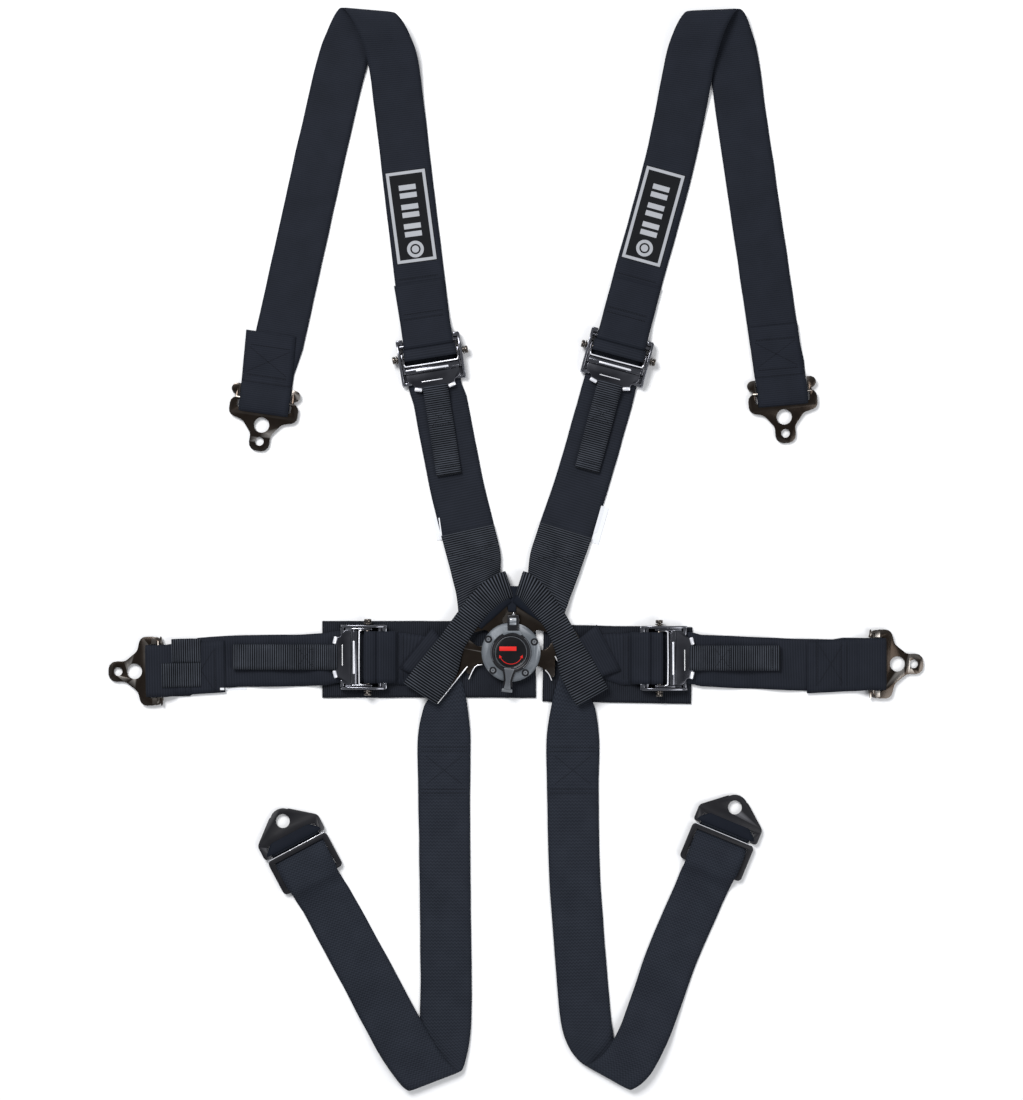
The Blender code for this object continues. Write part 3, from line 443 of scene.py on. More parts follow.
def ribbon(
    name, stations, finish, body, thick=1.35, cells=10, spacing=4.0, wave=0.25, lift=None, replaces=()
):
    rows, travelled = resample(stations, spacing)
    bm = bmesh.new()
    uv_layer = bm.loops.layers.uv.new("UVMap")
    count = 2 * (cells + 1)
    rings = []
    seed = sum(ord(letter) for letter in name)
    for index, (x, y, z, turn, width) in enumerate(rows):
        before = Vector(rows[max(index - 1, 0)][:3])
        after = Vector(rows[min(index + 1, len(rows) - 1)][:3])
        angle = math.radians(turn)
        side = Vector((math.cos(angle), math.sin(angle), 0))
        forward = (after - before).normalized()
        up = side.cross(forward).normalized()
        centre = Vector((x, y, z))
        ring = []
        for k in range(count):
            top = k <= cells
            share = (k if top else count - 1 - k) / cells
            t = 2 * share - 1
            edge = min(1.0, (1 - abs(t)) * width / 2 / EDGE_ROUND)
            half = thick / 2 * (EDGE_THIN + (1 - EDGE_THIN) * math.sqrt(edge))
            drift = noise.noise((travelled[index] * 0.02, t * 0.9, seed)) * wave
            ends = noise.noise((travelled[index] * 0.035, seed * 0.37, 4.0 + t)) * 0.35
            point = centre + side * (t * (width / 2 + ends)) + up * (half if top else -half)
            point.z += drift + (lift(travelled[index], t) if lift else 0.0)
            point.z = max(point.z, TABLE_GAP)
            ring.append((bm.verts.new(point * MM), (t * width / 2 * MM, travelled[index] * MM)))
        rings.append(ring)
    for low, high in zip(rings, rings[1:]):
        for k in range(count):
            n = (k + 1) % count
            add_face(bm, uv_layer, (low[k], low[n], high[n], high[k]))
    for ring in (rings[0], rings[-1]):
        for k in range(cells):
            under = count - 1 - k
            add_face(bm, uv_layer, (ring[k], ring[k + 1], ring[under - 1], ring[under]))
    made = built(name, bm)
    made.data.shade_smooth()
    settle(made, finish, body, "webbing", replaces)
    wide = sum(row[4] for row in rows) / len(rows)
    print(f"{name}: {travelled[-1]:.0f} mm long, {len(made.data.polygons)} faces")
    return made


# %% [markdown]
# ## Where the hardware sits
# Each adjuster, anchor and slide has its own flat frame. A belt's route is then told in that frame: under
# a rod, round it, and back on top, which is how webbing is always held.

# %% Frames of the hardware
BUCKLE = Spot(-5.0, -102.5, 0.0)
PAD_TOP = 2.0
ON_FLOOR, STACKED, ON_PAD = 0.95, 2.9, 3.1
TONGUE_MID = 6.0
ADJUSTERS = {
    "shoulder_left": Spot(-85.0, 189.5, 9.0),
    "shoulder_right": Spot(101.0, 191.5, -15.0),
    "lap_left": Spot(-153.0, -107.5, -90.0, PAD_TOP + 0.35),
    "lap_right": Spot(148.0, -108.5, 90.0, PAD_TOP + 0.35),
}
ANCHORS = {
    "shoulder_left": Spot(-251.1, 148.8, -8.1),
    "shoulder_right": Spot(266.2, 157.1, 5.0),
    "lap_left": Spot(-357.2, -121.5, -89.0),
    "lap_right": Spot(357.1, -114.5, 90.0),
}
SLIDES = {"left": Spot(-210.8, -314.1, 28.0), "right": Spot(200.8, -302.5, -22.4)}
for name, spot in ADJUSTERS.items():
    low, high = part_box(name + "_adjuster_frame")
    print(name, "adjuster frame is", round((high - low).x / MM), "by", round((high - low).y / MM), "mm")


# %% Ends of a belt
def anchor_end(spot, width, tail):
    """Under the bracket, round its rod in a fat roll that hides the slot, and back on top."""
    made = [spot.station(30.0, ON_FLOOR, width), spot.station(2.0, ON_FLOOR, width)]
    for step in range(13):
        angle = math.pi * step / 12 - math.pi / 2
        made.append(spot.station(-3.0 - 9.8 * math.cos(angle), 4.9 + 3.9 * math.sin(angle), width))
    made += [spot.station(6.0, 8.6, width), spot.station(13.0, 6.6, width, -0.8)]
    made += [spot.station(17.5, STACKED + 0.5, width, -1.2), spot.station(26.0, STACKED, width, -1.6)]
    made.append(spot.station(tail, STACKED, width, -3.5))
    return made


def fixed_end(spot, width, tail):
    made = [spot.station(17.0 + tail, STACKED, width), spot.station(41.0, STACKED + 0.4, width)]
    made.append(spot.station(29.0, 6.4, width))
    made += half_turn(spot, 17.0, spot.height + 6.5, 3.55, width, upward=False)
    made.append(spot.station(33.0, 1.6, width))
    return made


def roller_end(spot, width):
    made = [spot.station(-4.0, 2.7, width)]
    for step in range(17):
        angle = math.radians(200) * step / 16 - math.pi / 2
        x, y = spot.point(0.0, 4.7 + 8.7 * math.cos(angle))
        made.append((x, y, spot.height + 7.4 + 5.0 * math.sin(angle), spot.turn, width))
    return made


# %% [markdown]
# ## Shoulder belts
# Each upper belt is sewn to its adjuster, climbs the inner run, tips over a soft fold at the top and comes
# down the outer run to its anchor. The fold is the one place where the belt leaves the table, so its
# stations rise there and its width turns a few degrees at a time.

# %% Upper belts
BELT_RUNS = {
    "left": [
        (-96.5, 272.0, ON_FLOOR, 7.5), (-110.0, 385.0, ON_FLOOR, 7.0),
        (-117.0, 445.0, 2.2, 6.5), (-123.0, 489.0, 9.0, 5.0),
        (-132.0, 515.0, 14.5, 2.0), (-141.0, 531.0, 15.0, -2.0),
        (-148.5, 538.0, 11.5, -5.0), (-155.0, 533.0, 7.5, -8.0),
        (-164.0, 515.0, 4.2, -11.0), (-173.5, 489.5, 1.8, -12.5),
        (-189.0, 425.0, ON_FLOOR, -12.5), (-238.0, 205.0, ON_FLOOR, -11.5),
    ],
    "right": [
        (121.0, 267.0, ON_FLOOR, -15.5), (150.0, 372.0, ON_FLOOR, -13.5),
        (165.0, 440.0, 2.2, -10.0), (174.0, 489.0, 9.0, -6.0),
        (182.0, 515.0, 14.5, -3.0), (190.0, 531.0, 15.0, 0.0),
        (197.0, 538.0, 11.5, 2.5), (204.0, 533.0, 7.5, 5.0),
        (211.0, 515.0, 4.2, 7.0), (218.0, 489.5, 1.8, 7.5),
        (227.0, 425.0, ON_FLOOR, 7.5), (259.5, 205.0, ON_FLOOR, 6.5),
    ],
}
upper_belts = {}
for side in SIDES:
    key = "shoulder_" + side
    route = fixed_end(ADJUSTERS[key], 50.0, 62.0)
    route += smooth([(*spot, 50.0) for spot in BELT_RUNS[side]], 12)
    route += anchor_end(ANCHORS[key], 50.0, 68.0)
    upper_belts[side] = ribbon(
        f"upper_belt_{side}", route, BELT, "harness", replaces=[f"shoulder_belt_{side}"]
    )

# %% [markdown]
# The lower strap runs from the adjuster down to the tongue in the buckle. Its last stretch is sewn back on
# top of itself and gathered to fit the tongue's slot, so it carries a crease along its middle.

# %% Lower straps
STRAP_RUNS = {
    "left": [
        (-76.0, 149.5, ON_FLOOR, 11.0, 54.0), (-60.5, 69.5, ON_FLOOR, 12.0, 54.0),
        (-48.5, 19.5, ON_FLOOR, 12.5, 54.0), (-41.0, -10.5, 2.0, 15.0, 53.0),
        (-38.0, -34.0, 2.9, 24.0, 48.0),
    ],
    "right": [
        (90.0, 149.5, ON_FLOOR, -15.5, 54.0), (67.0, 69.5, ON_FLOOR, -17.0, 54.0),
        (50.0, 19.5, ON_FLOOR, -17.0, 54.0), (40.0, -10.5, 2.0, -19.0, 53.0),
        (33.8, -34.0, 2.9, -24.0, 48.0),
    ],
}
HEADINGS = {"shoulder_left": 122.0, "shoulder_right": 58.0}
lower_straps, turned_back = {}, {}
for side in SIDES:
    sign = -1 if side == "left" else 1
    spot = ADJUSTERS["shoulder_" + side]
    route = roller_end(spot, 53.0)[::-1]
    route += [spot.station(-18.0, 2.6, 53.0), spot.station(-27.0, 1.8, 53.0)]
    route += smooth(STRAP_RUNS[side], 10)
    tongue = Spot(BUCKLE.x, BUCKLE.y, HEADINGS["shoulder_" + side] - 90)
    bar = Spot(*tongue.point(2.8 * sign, 47.2), -32.0 * sign)
    route += half_turn(bar, 0.0, TONGUE_MID, 2.9, 46.0)[:8]
    lower_straps[side] = ribbon(
        f"lower_strap_{side}", route, STRAP, "harness", replaces=[f"shoulder_strap_{side}"]
    )

    back = half_turn(bar, 0.0, TONGUE_MID, 2.9, 46.0)[7:]
    back.append(bar.station(9.0, 8.0, 47.0))
    tail = [(x, y, z + 1.95, turn, width) for x, y, z, turn, width in STRAP_RUNS[side][:1:-1]]
    back += smooth([back[-1], *tail], 10)[1:]

    def crease(travelled, t, sign=sign):
        share = max(0.0, min(1.0, travelled / 12.0, (88.0 - travelled) / 20.0))
        fold = math.exp(-(((t * sign - 0.05) / 0.16) ** 2))
        swell = 0.5 + 0.5 * math.cos(math.pi * min(1.0, abs(t * sign + 0.45) / 0.55))
        return share * (2.6 * swell + 0.9 * (1 - abs(t)) - 1.5 * fold)

    turned_back[side] = ribbon(
        f"turned_back_strap_{side}", back, RIBBED, "harness", cells=22, spacing=2.5, lift=crease
    )

# %% [markdown]
# ## Lap belts and their pads
# The pads are wide sleeves of ribbed webbing, whose ribs stand upright beside the buckle. The lap belt
# lies on them: one piece is sewn round the tongue's eye, the other comes out of the adjuster and runs to
# its anchor with the loose folds that a lap belt always has.

# %% Pads
PADS = {"left": (Spot(-87.0, -110.0, 0.0), 214.0), "right": (Spot(101.5, -115.0, -1.0), 149.0)}
PAD_WIDTH = 77.0
pads = {}
for side, (middle, length) in PADS.items():
    spot = Spot(middle.x, middle.y, middle.turn - 90.0)
    along = [-length / 2 + length * i / 8 for i in range(9)]
    route = [spot.station(place, PAD_TOP / 2 + 0.05, PAD_WIDTH) for place in along]
    pads[side] = ribbon(
        f"pad_{side}", route, PAD, "harness", 1.9, 22, 5.0, 0.1, replaces=[f"lap_pad_{side}"]
    )

# %% Lap belts
LAP_RUNS = {
    "left": [
        (-190.0, -109.5, 4.0, -88.0), (-197.0, -110.0, 3.3, -87.5),
        (-207.0, -110.5, 1.8, -87.5), (-219.0, -111.0, ON_FLOOR, -87.0),
        (-279.0, -112.0, ON_FLOOR, -87.5), (-318.0, -114.5, ON_FLOOR, -88.0),
    ],
    "right": [
        (185.0, -111.0, 3.6, 90.0), (196.0, -111.5, 2.2, 90.0),
        (214.0, -112.5, ON_FLOOR, 91.0), (276.0, -115.0, ON_FLOOR, 92.0),
        (318.0, -116.0, ON_FLOOR, 91.0),
    ],
}
SEWN_RUNS = {
    "left": [(-112.0, -109.5, ON_PAD, -90.0, 52.0), (-99.0, -110.5, ON_PAD, -104.0, 50.0)],
    "right": [(107.0, -110.0, ON_PAD, 90.0, 52.0), (94.0, -109.0, ON_PAD, 102.0, 50.0)],
}
EYE_BARS = {"left": ((-43.0, -13.5), (-74.0, -52.0)), "right": ((43.5, -3.0), (69.0, -51.0))}


class Eye:
    """The angled eye of a lap tongue, told by its bright bar's near and far ends from the buckle's axis."""

    def __init__(self, near, far):
        self.near, far = Vector(near), Vector(far)
        self.along = (far - self.near).normalized()
        self.out = Vector((self.along.y, -self.along.x))
        if self.along.x > 0:
            self.out = -self.out
        self.turn = math.degrees(math.atan2(self.along.y, self.along.x))
        self.length = (far - self.near).length

    def world(self, out, along):
        spot = self.near + self.out * out + self.along * along
        return BUCKLE.x + spot.x, BUCKLE.y + spot.y


EYES = {side: Eye(*EYE_BARS[side]) for side in SIDES}
lap_belts, sewn_belts = {}, {}
for side in SIDES:
    key = "lap_" + side
    spot = ADJUSTERS[key]
    route = roller_end(spot, 52.0)[::-1]
    route += [spot.station(-18.0, 2.6, 52.0), spot.station(-27.0, 1.9, 52.0)]
    route += smooth([(*place, 52.0) for place in LAP_RUNS[side]], 10)
    route += anchor_end(ANCHORS[key], 52.0, 66.0)

    def folds(travelled, t):
        share = max(0.0, min(1.0, (travelled - 45.0) / 25.0, (190.0 - travelled) / 25.0))
        return share * 1.1 * (1.0 + math.sin(travelled * 0.105 + t * 1.4))

    lap_belts[side] = ribbon(
        f"lap_belt_run_{side}", route, STRAP, "harness", lift=folds, replaces=[f"lap_belt_{side}"]
    )

    turn = EYES[side].turn + (180.0 if side == "right" else 0.0)
    bar = Spot(*EYES[side].world(28.6, 19.0), turn)
    route = [spot.station(34.0, 5.2 - PAD_TOP, 52.0), spot.station(27.0, 6.6, 52.0)]
    route += half_turn(spot, 17.0, spot.height + 6.5, 3.55, 52.0, upward=False)
    route += SEWN_RUNS[side]
    route += half_turn(bar, 0.0, TONGUE_MID, 2.9, 44.0, side=1)
    route += [bar.station(-8.0, 7.6, 46.0), bar.station(-23.0, ON_PAD + 2.0, 52.0)]
    sewn_belts[side] = ribbon(
        f"lap_belt_sewn_{side}", route, STRAP, "harness", wave=0.1, replaces=[f"lap_sewn_belt_{side}"]
    )

# %% [markdown]
# The left lap belt is bunched where it leaves its bracket, so its top layer lies there as two ribbed flaps.

# %% Bunched flaps
spot = ANCHORS["lap_left"]
FLAPS = {
    "lower": (4.5, [(3.4, 10.2), (8.0, 9.8), (13.0, 8.4), (18.0, 5.3), (26.0, 4.5), (42.0, 4.4)]),
    "upper": (-19.8, [(13.5, 7.6), (18.0, 5.2), (26.0, 4.5), (42.0, 4.4)]),
}
for part, (across, climb) in FLAPS.items():
    route = smooth([spot.station(along, height, 24.0, across) for along, height in climb], 6)
    ribbon(f"lap_belt_flap_{part}", route, RIBBED, "harness", thick=1.2, spacing=2.5, wave=0.5)

# %% [markdown]
# ## Leg straps and their loops
# A leg strap is a plainer, squarer weave. It starts under the tongue's bright bar, runs straight down,
# turns over at the bottom and climbs outwards to its slide and anchor. The short loop above the buckle is
# heavy ribbed webbing: its ribs are deep enough to be modelled row by row.

# %% Leg straps
LEG_RUNS = {
    "left": [
        (-71.0, -156.0, 3.3, 8.0, 44.0), (-72.0, -190.0, 1.0, 0.0, 53.0),
        (-72.0, -240.0, ON_FLOOR, 0.0, 52.0), (-71.0, -340.0, ON_FLOOR, 0.0, 51.0),
        (-70.0, -440.0, ON_FLOOR, 0.0, 51.5), (-71.5, -485.0, 1.8, 3.0, 52.0),
        (-75.5, -515.0, 3.4, 12.0, 52.0), (-79.5, -530.0, 6.6, 20.0, 52.0),
        (-87.0, -528.0, 9.4, 23.0, 52.0), (-98.0, -515.0, 9.4, 25.0, 52.0),
        (-112.0, -494.0, 7.6, 27.0, 53.0), (-130.0, -462.0, 3.2, 28.0, 53.0),
        (-152.0, -421.0, ON_FLOOR, 28.0, 53.0), (-190.0, -351.0, ON_FLOOR, 28.0, 52.0),
    ],
    "right": [
        (58.0, -156.0, 3.3, -10.0, 44.0), (57.0, -190.0, 1.0, 0.0, 53.0),
        (57.0, -240.0, ON_FLOOR, 0.0, 52.0), (59.0, -330.0, ON_FLOOR, 1.0, 51.0),
        (65.0, -415.0, ON_FLOOR, 3.0, 51.0), (70.0, -470.0, 1.8, 0.0, 51.0),
        (77.0, -503.0, 3.4, -14.0, 51.0), (88.5, -525.5, 6.6, -28.0, 50.0),
        (99.0, -524.0, 9.4, -30.0, 50.0), (113.0, -511.0, 9.4, -27.0, 50.0),
        (126.0, -488.0, 7.6, -20.0, 50.0), (139.0, -456.0, 3.2, -18.0, 50.5),
        (156.0, -408.0, ON_FLOOR, -21.0, 51.0), (183.0, -345.0, ON_FLOOR, -22.4, 51.0),
    ],
}
SLIDE_CLIMB = [(-32.0, 1.2), (-26.5, 3.2), (-20.5, 6.7), (-14.0, 7.3), (-3.0, 8.2)]
SLIDE_CLIMB += [(6.0, 7.4), (11.0, 4.4), (14.5, 1.7), (19.0, ON_FLOOR)]
leg_straps = {}
for side in SIDES:
    turn = EYES[side].turn + (180.0 if side == "left" else 0.0)
    first = EYES[side].world(10.0, EYES[side].length / 2 + 1.0)
    route = smooth([(*first, 3.4, turn, 36.0), *LEG_RUNS[side]], 12)
    spot = SLIDES[side]
    for along, height in SLIDE_CLIMB:
        route.append(spot.station(along, height, 54.4 if abs(along) < 15 else 52.0))
    route += half_turn(spot, 23.0, 2.3, 1.35, 52.0, side=1)
    route.append(spot.station(21.0, 3.6, 52.0))
    leg_straps[side] = ribbon(
        f"leg_strap_run_{side}", route, LEG, "harness", replaces=[f"leg_strap_{side}"], wave=0.35
    )

# %% Ribbed loops
SLIP_RUNS = {
    "left": [
        (-96.0, -143.5, 11.4, -33.0, 39.0), (-76.0, -117.0, 11.4, -34.0, 38.0),
        (-64.0, -94.0, 11.4, -34.0, 27.0), (-52.0, -75.0, 11.4, -35.0, 25.0),
        (-38.0, -57.0, 11.4, -40.0, 26.0), (-25.0, -44.0, 11.4, -52.0, 27.0),
    ],
    "right": [
        (76.0, -147.0, 11.4, 29.0, 36.0), (61.0, -119.0, 11.4, 27.0, 36.0),
        (51.0, -95.0, 11.4, 27.0, 27.0), (40.0, -73.0, 11.4, 32.0, 25.0),
        (28.0, -56.0, 11.4, 42.0, 26.0), (17.5, -44.0, 11.4, 54.0, 27.0),
    ],
}
BENDS = {"left": Spot(-11.9, -36.0, -72.0), "right": Spot(8.4, -36.0, 72.0)}
for side in SIDES:
    radius = (11.4 - ON_FLOOR) / 2
    route = smooth(SLIP_RUNS[side], 12)
    turn = half_turn(BENDS[side], 0.0, ON_FLOOR + radius, radius, 27.0, side=1, upward=False)
    route += [*turn, BENDS[side].station(-26.0, ON_FLOOR, 27.0)]

    def ribs(travelled, t):
        wave = 0.5 + 0.5 * math.cos(math.tau * travelled / LOOP_PITCH)
        crown = (1 - t * t) * (3.4 if travelled < 150 else 0.0)
        return (0.5 * wave + crown) if travelled < 168 else 0.0

    name = f"ribbed_loop_{side}"
    ribbon(name, route, LOOP, "harness", 1.4, 12, 0.5, 0.1, lift=ribs, replaces=[f"leg_loop_{side}"])

# %% [markdown]
# Inside each ribbed loop lies a smooth, domed lining of plain webbing that slopes down towards the buckle.

# %% Smooth linings
LINING_RUNS = {
    "left": [(-3.5, 57, -60), (-12, 50, -54), (-21, 42, -50), (-30, 34, -46), (-36, 28, -42)],
    "right": [(6, 57, 60), (15, 50, 56), (25, 43, 52), (35, 36, 50), (42, 30, 46)],
}
for side in SIDES:
    route = [(BUCKLE.x + x, BUCKLE.y + y, 9.0, turn, 17.0) for x, y, turn in LINING_RUNS[side]]

    def dome(travelled, t):
        return 2.6 * (1 - t * t)

    name = f"loop_lining_{side}"
    ribbon(name, smooth(route, 10), SMOOTH, "harness", 1.2, spacing=2.5, wave=0.3, lift=dome)
# A short strip of the dark lining fills the dark gap where the two linings meet at the top. It is painted
# shade.
top = Spot(BUCKLE.x + 1.0, BUCKLE.y + 66.0, 0.0)
route = [top.station(-6.5 * i, 8.9, 13.0 - 1.4 * i) for i in range(5)]
ribbon("lining_gusset", route, SMOOTH, "harness", 0.9, spacing=2.5, wave=0.2)

# %% [markdown]
# ## Pull tabs
# A pull tab is a narrow loop of webbing through the lever's slot, sewn flat. It moves with its lever.

# %% Pull tabs
TAB_WIDTH = 25.0
tabs = {}
for key, spot in ADJUSTERS.items():
    end = -130.0 if key == "lap_left" else -116.0
    lip = Spot(*spot.point(0.0, -28.0), spot.turn)
    below = ((end, 2.9), (-47.0, 2.9), (-35.0, 3.5))
    above = ((-36.0, 7.6), (-46.0, 5.3), (-60.0, 4.9), (end, 4.9))
    route = [spot.station(*place, TAB_WIDTH) for place in below]
    route += half_turn(lip, 0.0, spot.height + 7.0, 2.45, TAB_WIDTH, side=1)
    route += [spot.station(*place, TAB_WIDTH) for place in above]
    tabs[key] = ribbon(
        f"{key}_tab", route, RIBBED, key + "_tilt", 1.2, 6, wave=0.08, replaces=[key + "_pull_tab"]
    )

# %% [markdown]
# ## Ways to make the hard pieces
# Most solids of the model already have the right outline, but their edges are razor sharp. A copy of one is
# merged, its flat triangles are joined again and a Bevel modifier rounds it, so that the edges catch the
# light as filed metal does. Plates, tubes and turned pieces that need a new shape are built here.


# %% Rounding edges
def round_edges(piece, width, segments=3, angle=40.0):
    if width:
        edge = piece.modifiers.new("edge", "BEVEL")
        edge.width = width * MM
        edge.segments = segments
        edge.limit_method = "ANGLE"
        edge.angle_limit = math.radians(angle)
    picked(piece)
    if width:
        bpy.ops.object.modifier_apply(modifier="edge")
    bpy.ops.object.shade_smooth_by_angle(angle=math.radians(38))
    piece.select_set(False)
    return piece


# %% Refined copies
def refine(node, finish, body="harness", slot="black_chrome", width=0.45, reshape=None):
    bm = bmesh.new()
    bm.from_mesh(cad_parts[node].data)
    bmesh.ops.remove_doubles(bm, verts=bm.verts, dist=0.002 * MM)
    bmesh.ops.dissolve_limit(bm, angle_limit=math.radians(1.5), verts=bm.verts, edges=bm.edges)
    if reshape:
        for vert in bm.verts:
            vert.co = reshape(vert.co)
    piece = round_edges(built(node + "_finished", bm), width)
    return settle(piece, finish, body, slot, [node])


# %% Plates, bars, tubes and turned pieces
def spot_matrix(spot):
    place = Matrix.Translation((spot.x * MM, spot.y * MM, spot.height * MM))
    return place @ Matrix.Rotation(math.radians(spot.turn), 4, "Z")


def plate(name, outline, low, high, at, width=0.4, upright=False):
    """A plate cut to an outline in millimetres; an upright one stands along Y and is thick along X."""
    mesh = bpy.data.meshes.new(name)
    if upright:
        points = [(low * MM, x * MM, y * MM) for x, y in outline]
    else:
        points = [(x * MM, y * MM, low * MM) for x, y in outline]
    mesh.from_pydata(points, [], [range(len(points))])
    piece = picked(linked(name, mesh))
    bpy.ops.object.mode_set(mode="EDIT")
    bpy.ops.mesh.select_all(action="SELECT")
    thickness = (high - low) * MM
    move = (thickness, 0, 0) if upright else (0, 0, thickness)
    bpy.ops.mesh.extrude_region_move(TRANSFORM_OT_translate={"value": move})
    bpy.ops.mesh.select_all(action="SELECT")
    bpy.ops.mesh.normals_make_consistent(inside=False)
    bpy.ops.object.mode_set(mode="OBJECT")
    round_edges(piece, width)
    mesh.transform(at)
    return piece


def box_between(name, low, high, at, width=0.4):
    outline = [(low[0], low[1]), (high[0], low[1]), (high[0], high[1]), (low[0], high[1])]
    return plate(name, outline, low[2], high[2], at, width)


def bar(name, radius, near, far, at, sides=32, width=0.35):
    near, far = Vector(near) * MM, Vector(far) * MM
    bpy.ops.object.select_all(action="DESELECT")
    bpy.ops.mesh.primitive_cylinder_add(vertices=sides, radius=radius * MM, depth=(far - near).length)
    piece = bpy.context.object
    piece.name = piece.data.name = name
    round_edges(piece, min(width, radius * 0.4))
    turn = (far - near).to_track_quat("Z", "Y").to_matrix().to_4x4()
    piece.data.transform(at @ Matrix.Translation((near + far) / 2) @ turn)
    return piece


def tube(name, points, radius, at):
    """A bent round bar: a curve through the points, given its thickness and made a mesh."""
    curve = bpy.data.curves.new(name, "CURVE")
    curve.dimensions = "3D"
    curve.bevel_depth = radius * MM
    curve.bevel_resolution = 4
    curve.resolution_u = 6
    curve.use_fill_caps = True
    spline = curve.splines.new("BEZIER")
    spline.bezier_points.add(len(points) - 1)
    for knot, place in zip(spline.bezier_points, points):
        knot.co = Vector(place) * MM
        knot.handle_left_type = knot.handle_right_type = "VECTOR"
    picked(linked(name, curve))
    bpy.ops.object.convert(target="MESH")
    piece = bpy.context.object
    bm = bmesh.new()
    bm.from_mesh(piece.data)
    bmesh.ops.remove_doubles(bm, verts=bm.verts, dist=0.001 * MM)
    bmesh.ops.recalc_face_normals(bm, faces=bm.faces)
    bm.to_mesh(piece.data)
    bm.free()
    piece.data.transform(at)
    bpy.ops.object.shade_smooth_by_angle(angle=math.radians(38))
    return piece


def turned(name, profile, at, sides=96):
    """A lathe-turned piece: the profile goes from the axis or an inner wall round to where it started."""
    bm = bmesh.new()
    rings = []
    for radius, height in profile:
        if radius == 0:
            rings.append([bm.verts.new((0, 0, height * MM))])
            continue
        angles = [math.tau * i / sides for i in range(sides)]
        ring = [(radius * math.cos(angle), radius * math.sin(angle), height) for angle in angles]
        rings.append([bm.verts.new(Vector(place) * MM) for place in ring])
    hollow = profile[0][0] > 0
    pairs = list(zip(rings, rings[1:])) + ([(rings[-1], rings[0])] if hollow else [])
    for lower, upper in pairs:
        for i in range(sides):
            n = (i + 1) % sides
            corners = [lower[i % len(lower)], lower[n % len(lower)]]
            corners += [upper[n % len(upper)], upper[i % len(upper)]]
            bm.faces.new(list(dict.fromkeys(corners)))
    piece = built(name, bm)
    piece.data.transform(at)
    return round_edges(piece, 0.0)


def fused(name, pieces):
    """Several solids put in one object."""
    bpy.ops.object.select_all(action="DESELECT")
    for piece in pieces:
        piece.select_set(True)
    bpy.context.view_layer.objects.active = pieces[0]
    bpy.ops.object.join()
    pieces[0].name = pieces[0].data.name = name
    return pieces[0]


def mirrored(half):
    """A symmetrical outline from its right half."""
    return half + [(-x, y) for x, y in reversed(half)]


def pair(near, far):
    """The spans across, left then right, of a piece that comes in twos."""
    return (-far, -near), (near, far)


# %% [markdown]
# ## Adjusters
# A tilt-lock adjuster is a plated frame with a knurled bar. Lifting the lever lets the strap slip. Its lip is
# a fat roll of plated steel, and the pull tab hangs in a holder at its tip. The lever's front edge, a streak
# along the lip, the holder's two ends and a line at the slot's edge are near-white painted highlights. The
# pin's two heads show outside the cheeks, each held by a clip.

# %% Adjuster frames
CHEEK = [(-20.5, 0.6), (20.5, 0.6), (23.0, 3.0), (23.0, 8.5), (20.5, 10.6)]
CHEEK += [(10.0, 13.0), (-15.0, 11.0), (-20.5, 9.0), (-23.0, 6.0), (-23.0, 2.6)]
for key, spot in ADJUSTERS.items():
    at = spot_matrix(spot)
    parts = [plate("cheek", CHEEK, *span, at, 0.55, upright=True) for span in pair(29.6, 32.2)]
    for low, high in pair(25.4, 31.6):
        parts.append(box_between("ear", (low, 19.5, 1.4), (high, 24.0, 8.6), at, 0.8))
    for low, high in pair(22.5, 31.4):
        parts.append(box_between("toe", (low, -22.6, 1.0), (high, -18.6, 6.2), at, 1.2))
    parts.append(bar("rear_rod", 2.3, (-30.5, 17, 6.5), (30.5, 17, 6.5), at))
    parts.append(box_between("base_strip", (-31, -18, 0.3), (31, -8, 1.5), at, 0.3))
    settle(fused(key + "_frame", parts), CHROME, "harness", "black_chrome", [key + "_adjuster_frame"])

# %% Knurled bars and their pins
KNURLS = 26
PIN_ENDS = [
    ("head", 3.7, 34.8, 38.2, 0.9),
    ("washer", 4.3, 33.3, 34.3, 0.3),
    ("collar", 3.0, 32.6, 33.6, 0.3),
]
for key, spot in ADJUSTERS.items():
    at = spot_matrix(spot)
    teeth = [(3.2 if i % 2 else 2.95, 26.5 * (i / KNURLS - 1)) for i in range(KNURLS * 2 + 1)]
    profile = [(0.0, -27.0), (2.8, -27.0), *teeth, (2.8, 27.0), (0.0, 27.0)]
    centre = Matrix.Translation((0, 5 * MM, 7 * MM))
    along_x = at @ centre @ Matrix.Rotation(math.radians(90), 4, "Y")
    parts = [turned("knurl", profile, along_x, 32), bar("pin", 1.9, (-38, 5, 7), (38, 5, 7), at)]
    for part, radius, near, far, width in PIN_ENDS:
        for low, high in pair(near, far):
            parts.append(bar(part, radius, (low, 5, 7), (high, 5, 7), at, width=width))
    settle(fused(key + "_bar", parts), NICKEL, "harness", "black_chrome", [key + "_adjuster_bar"])

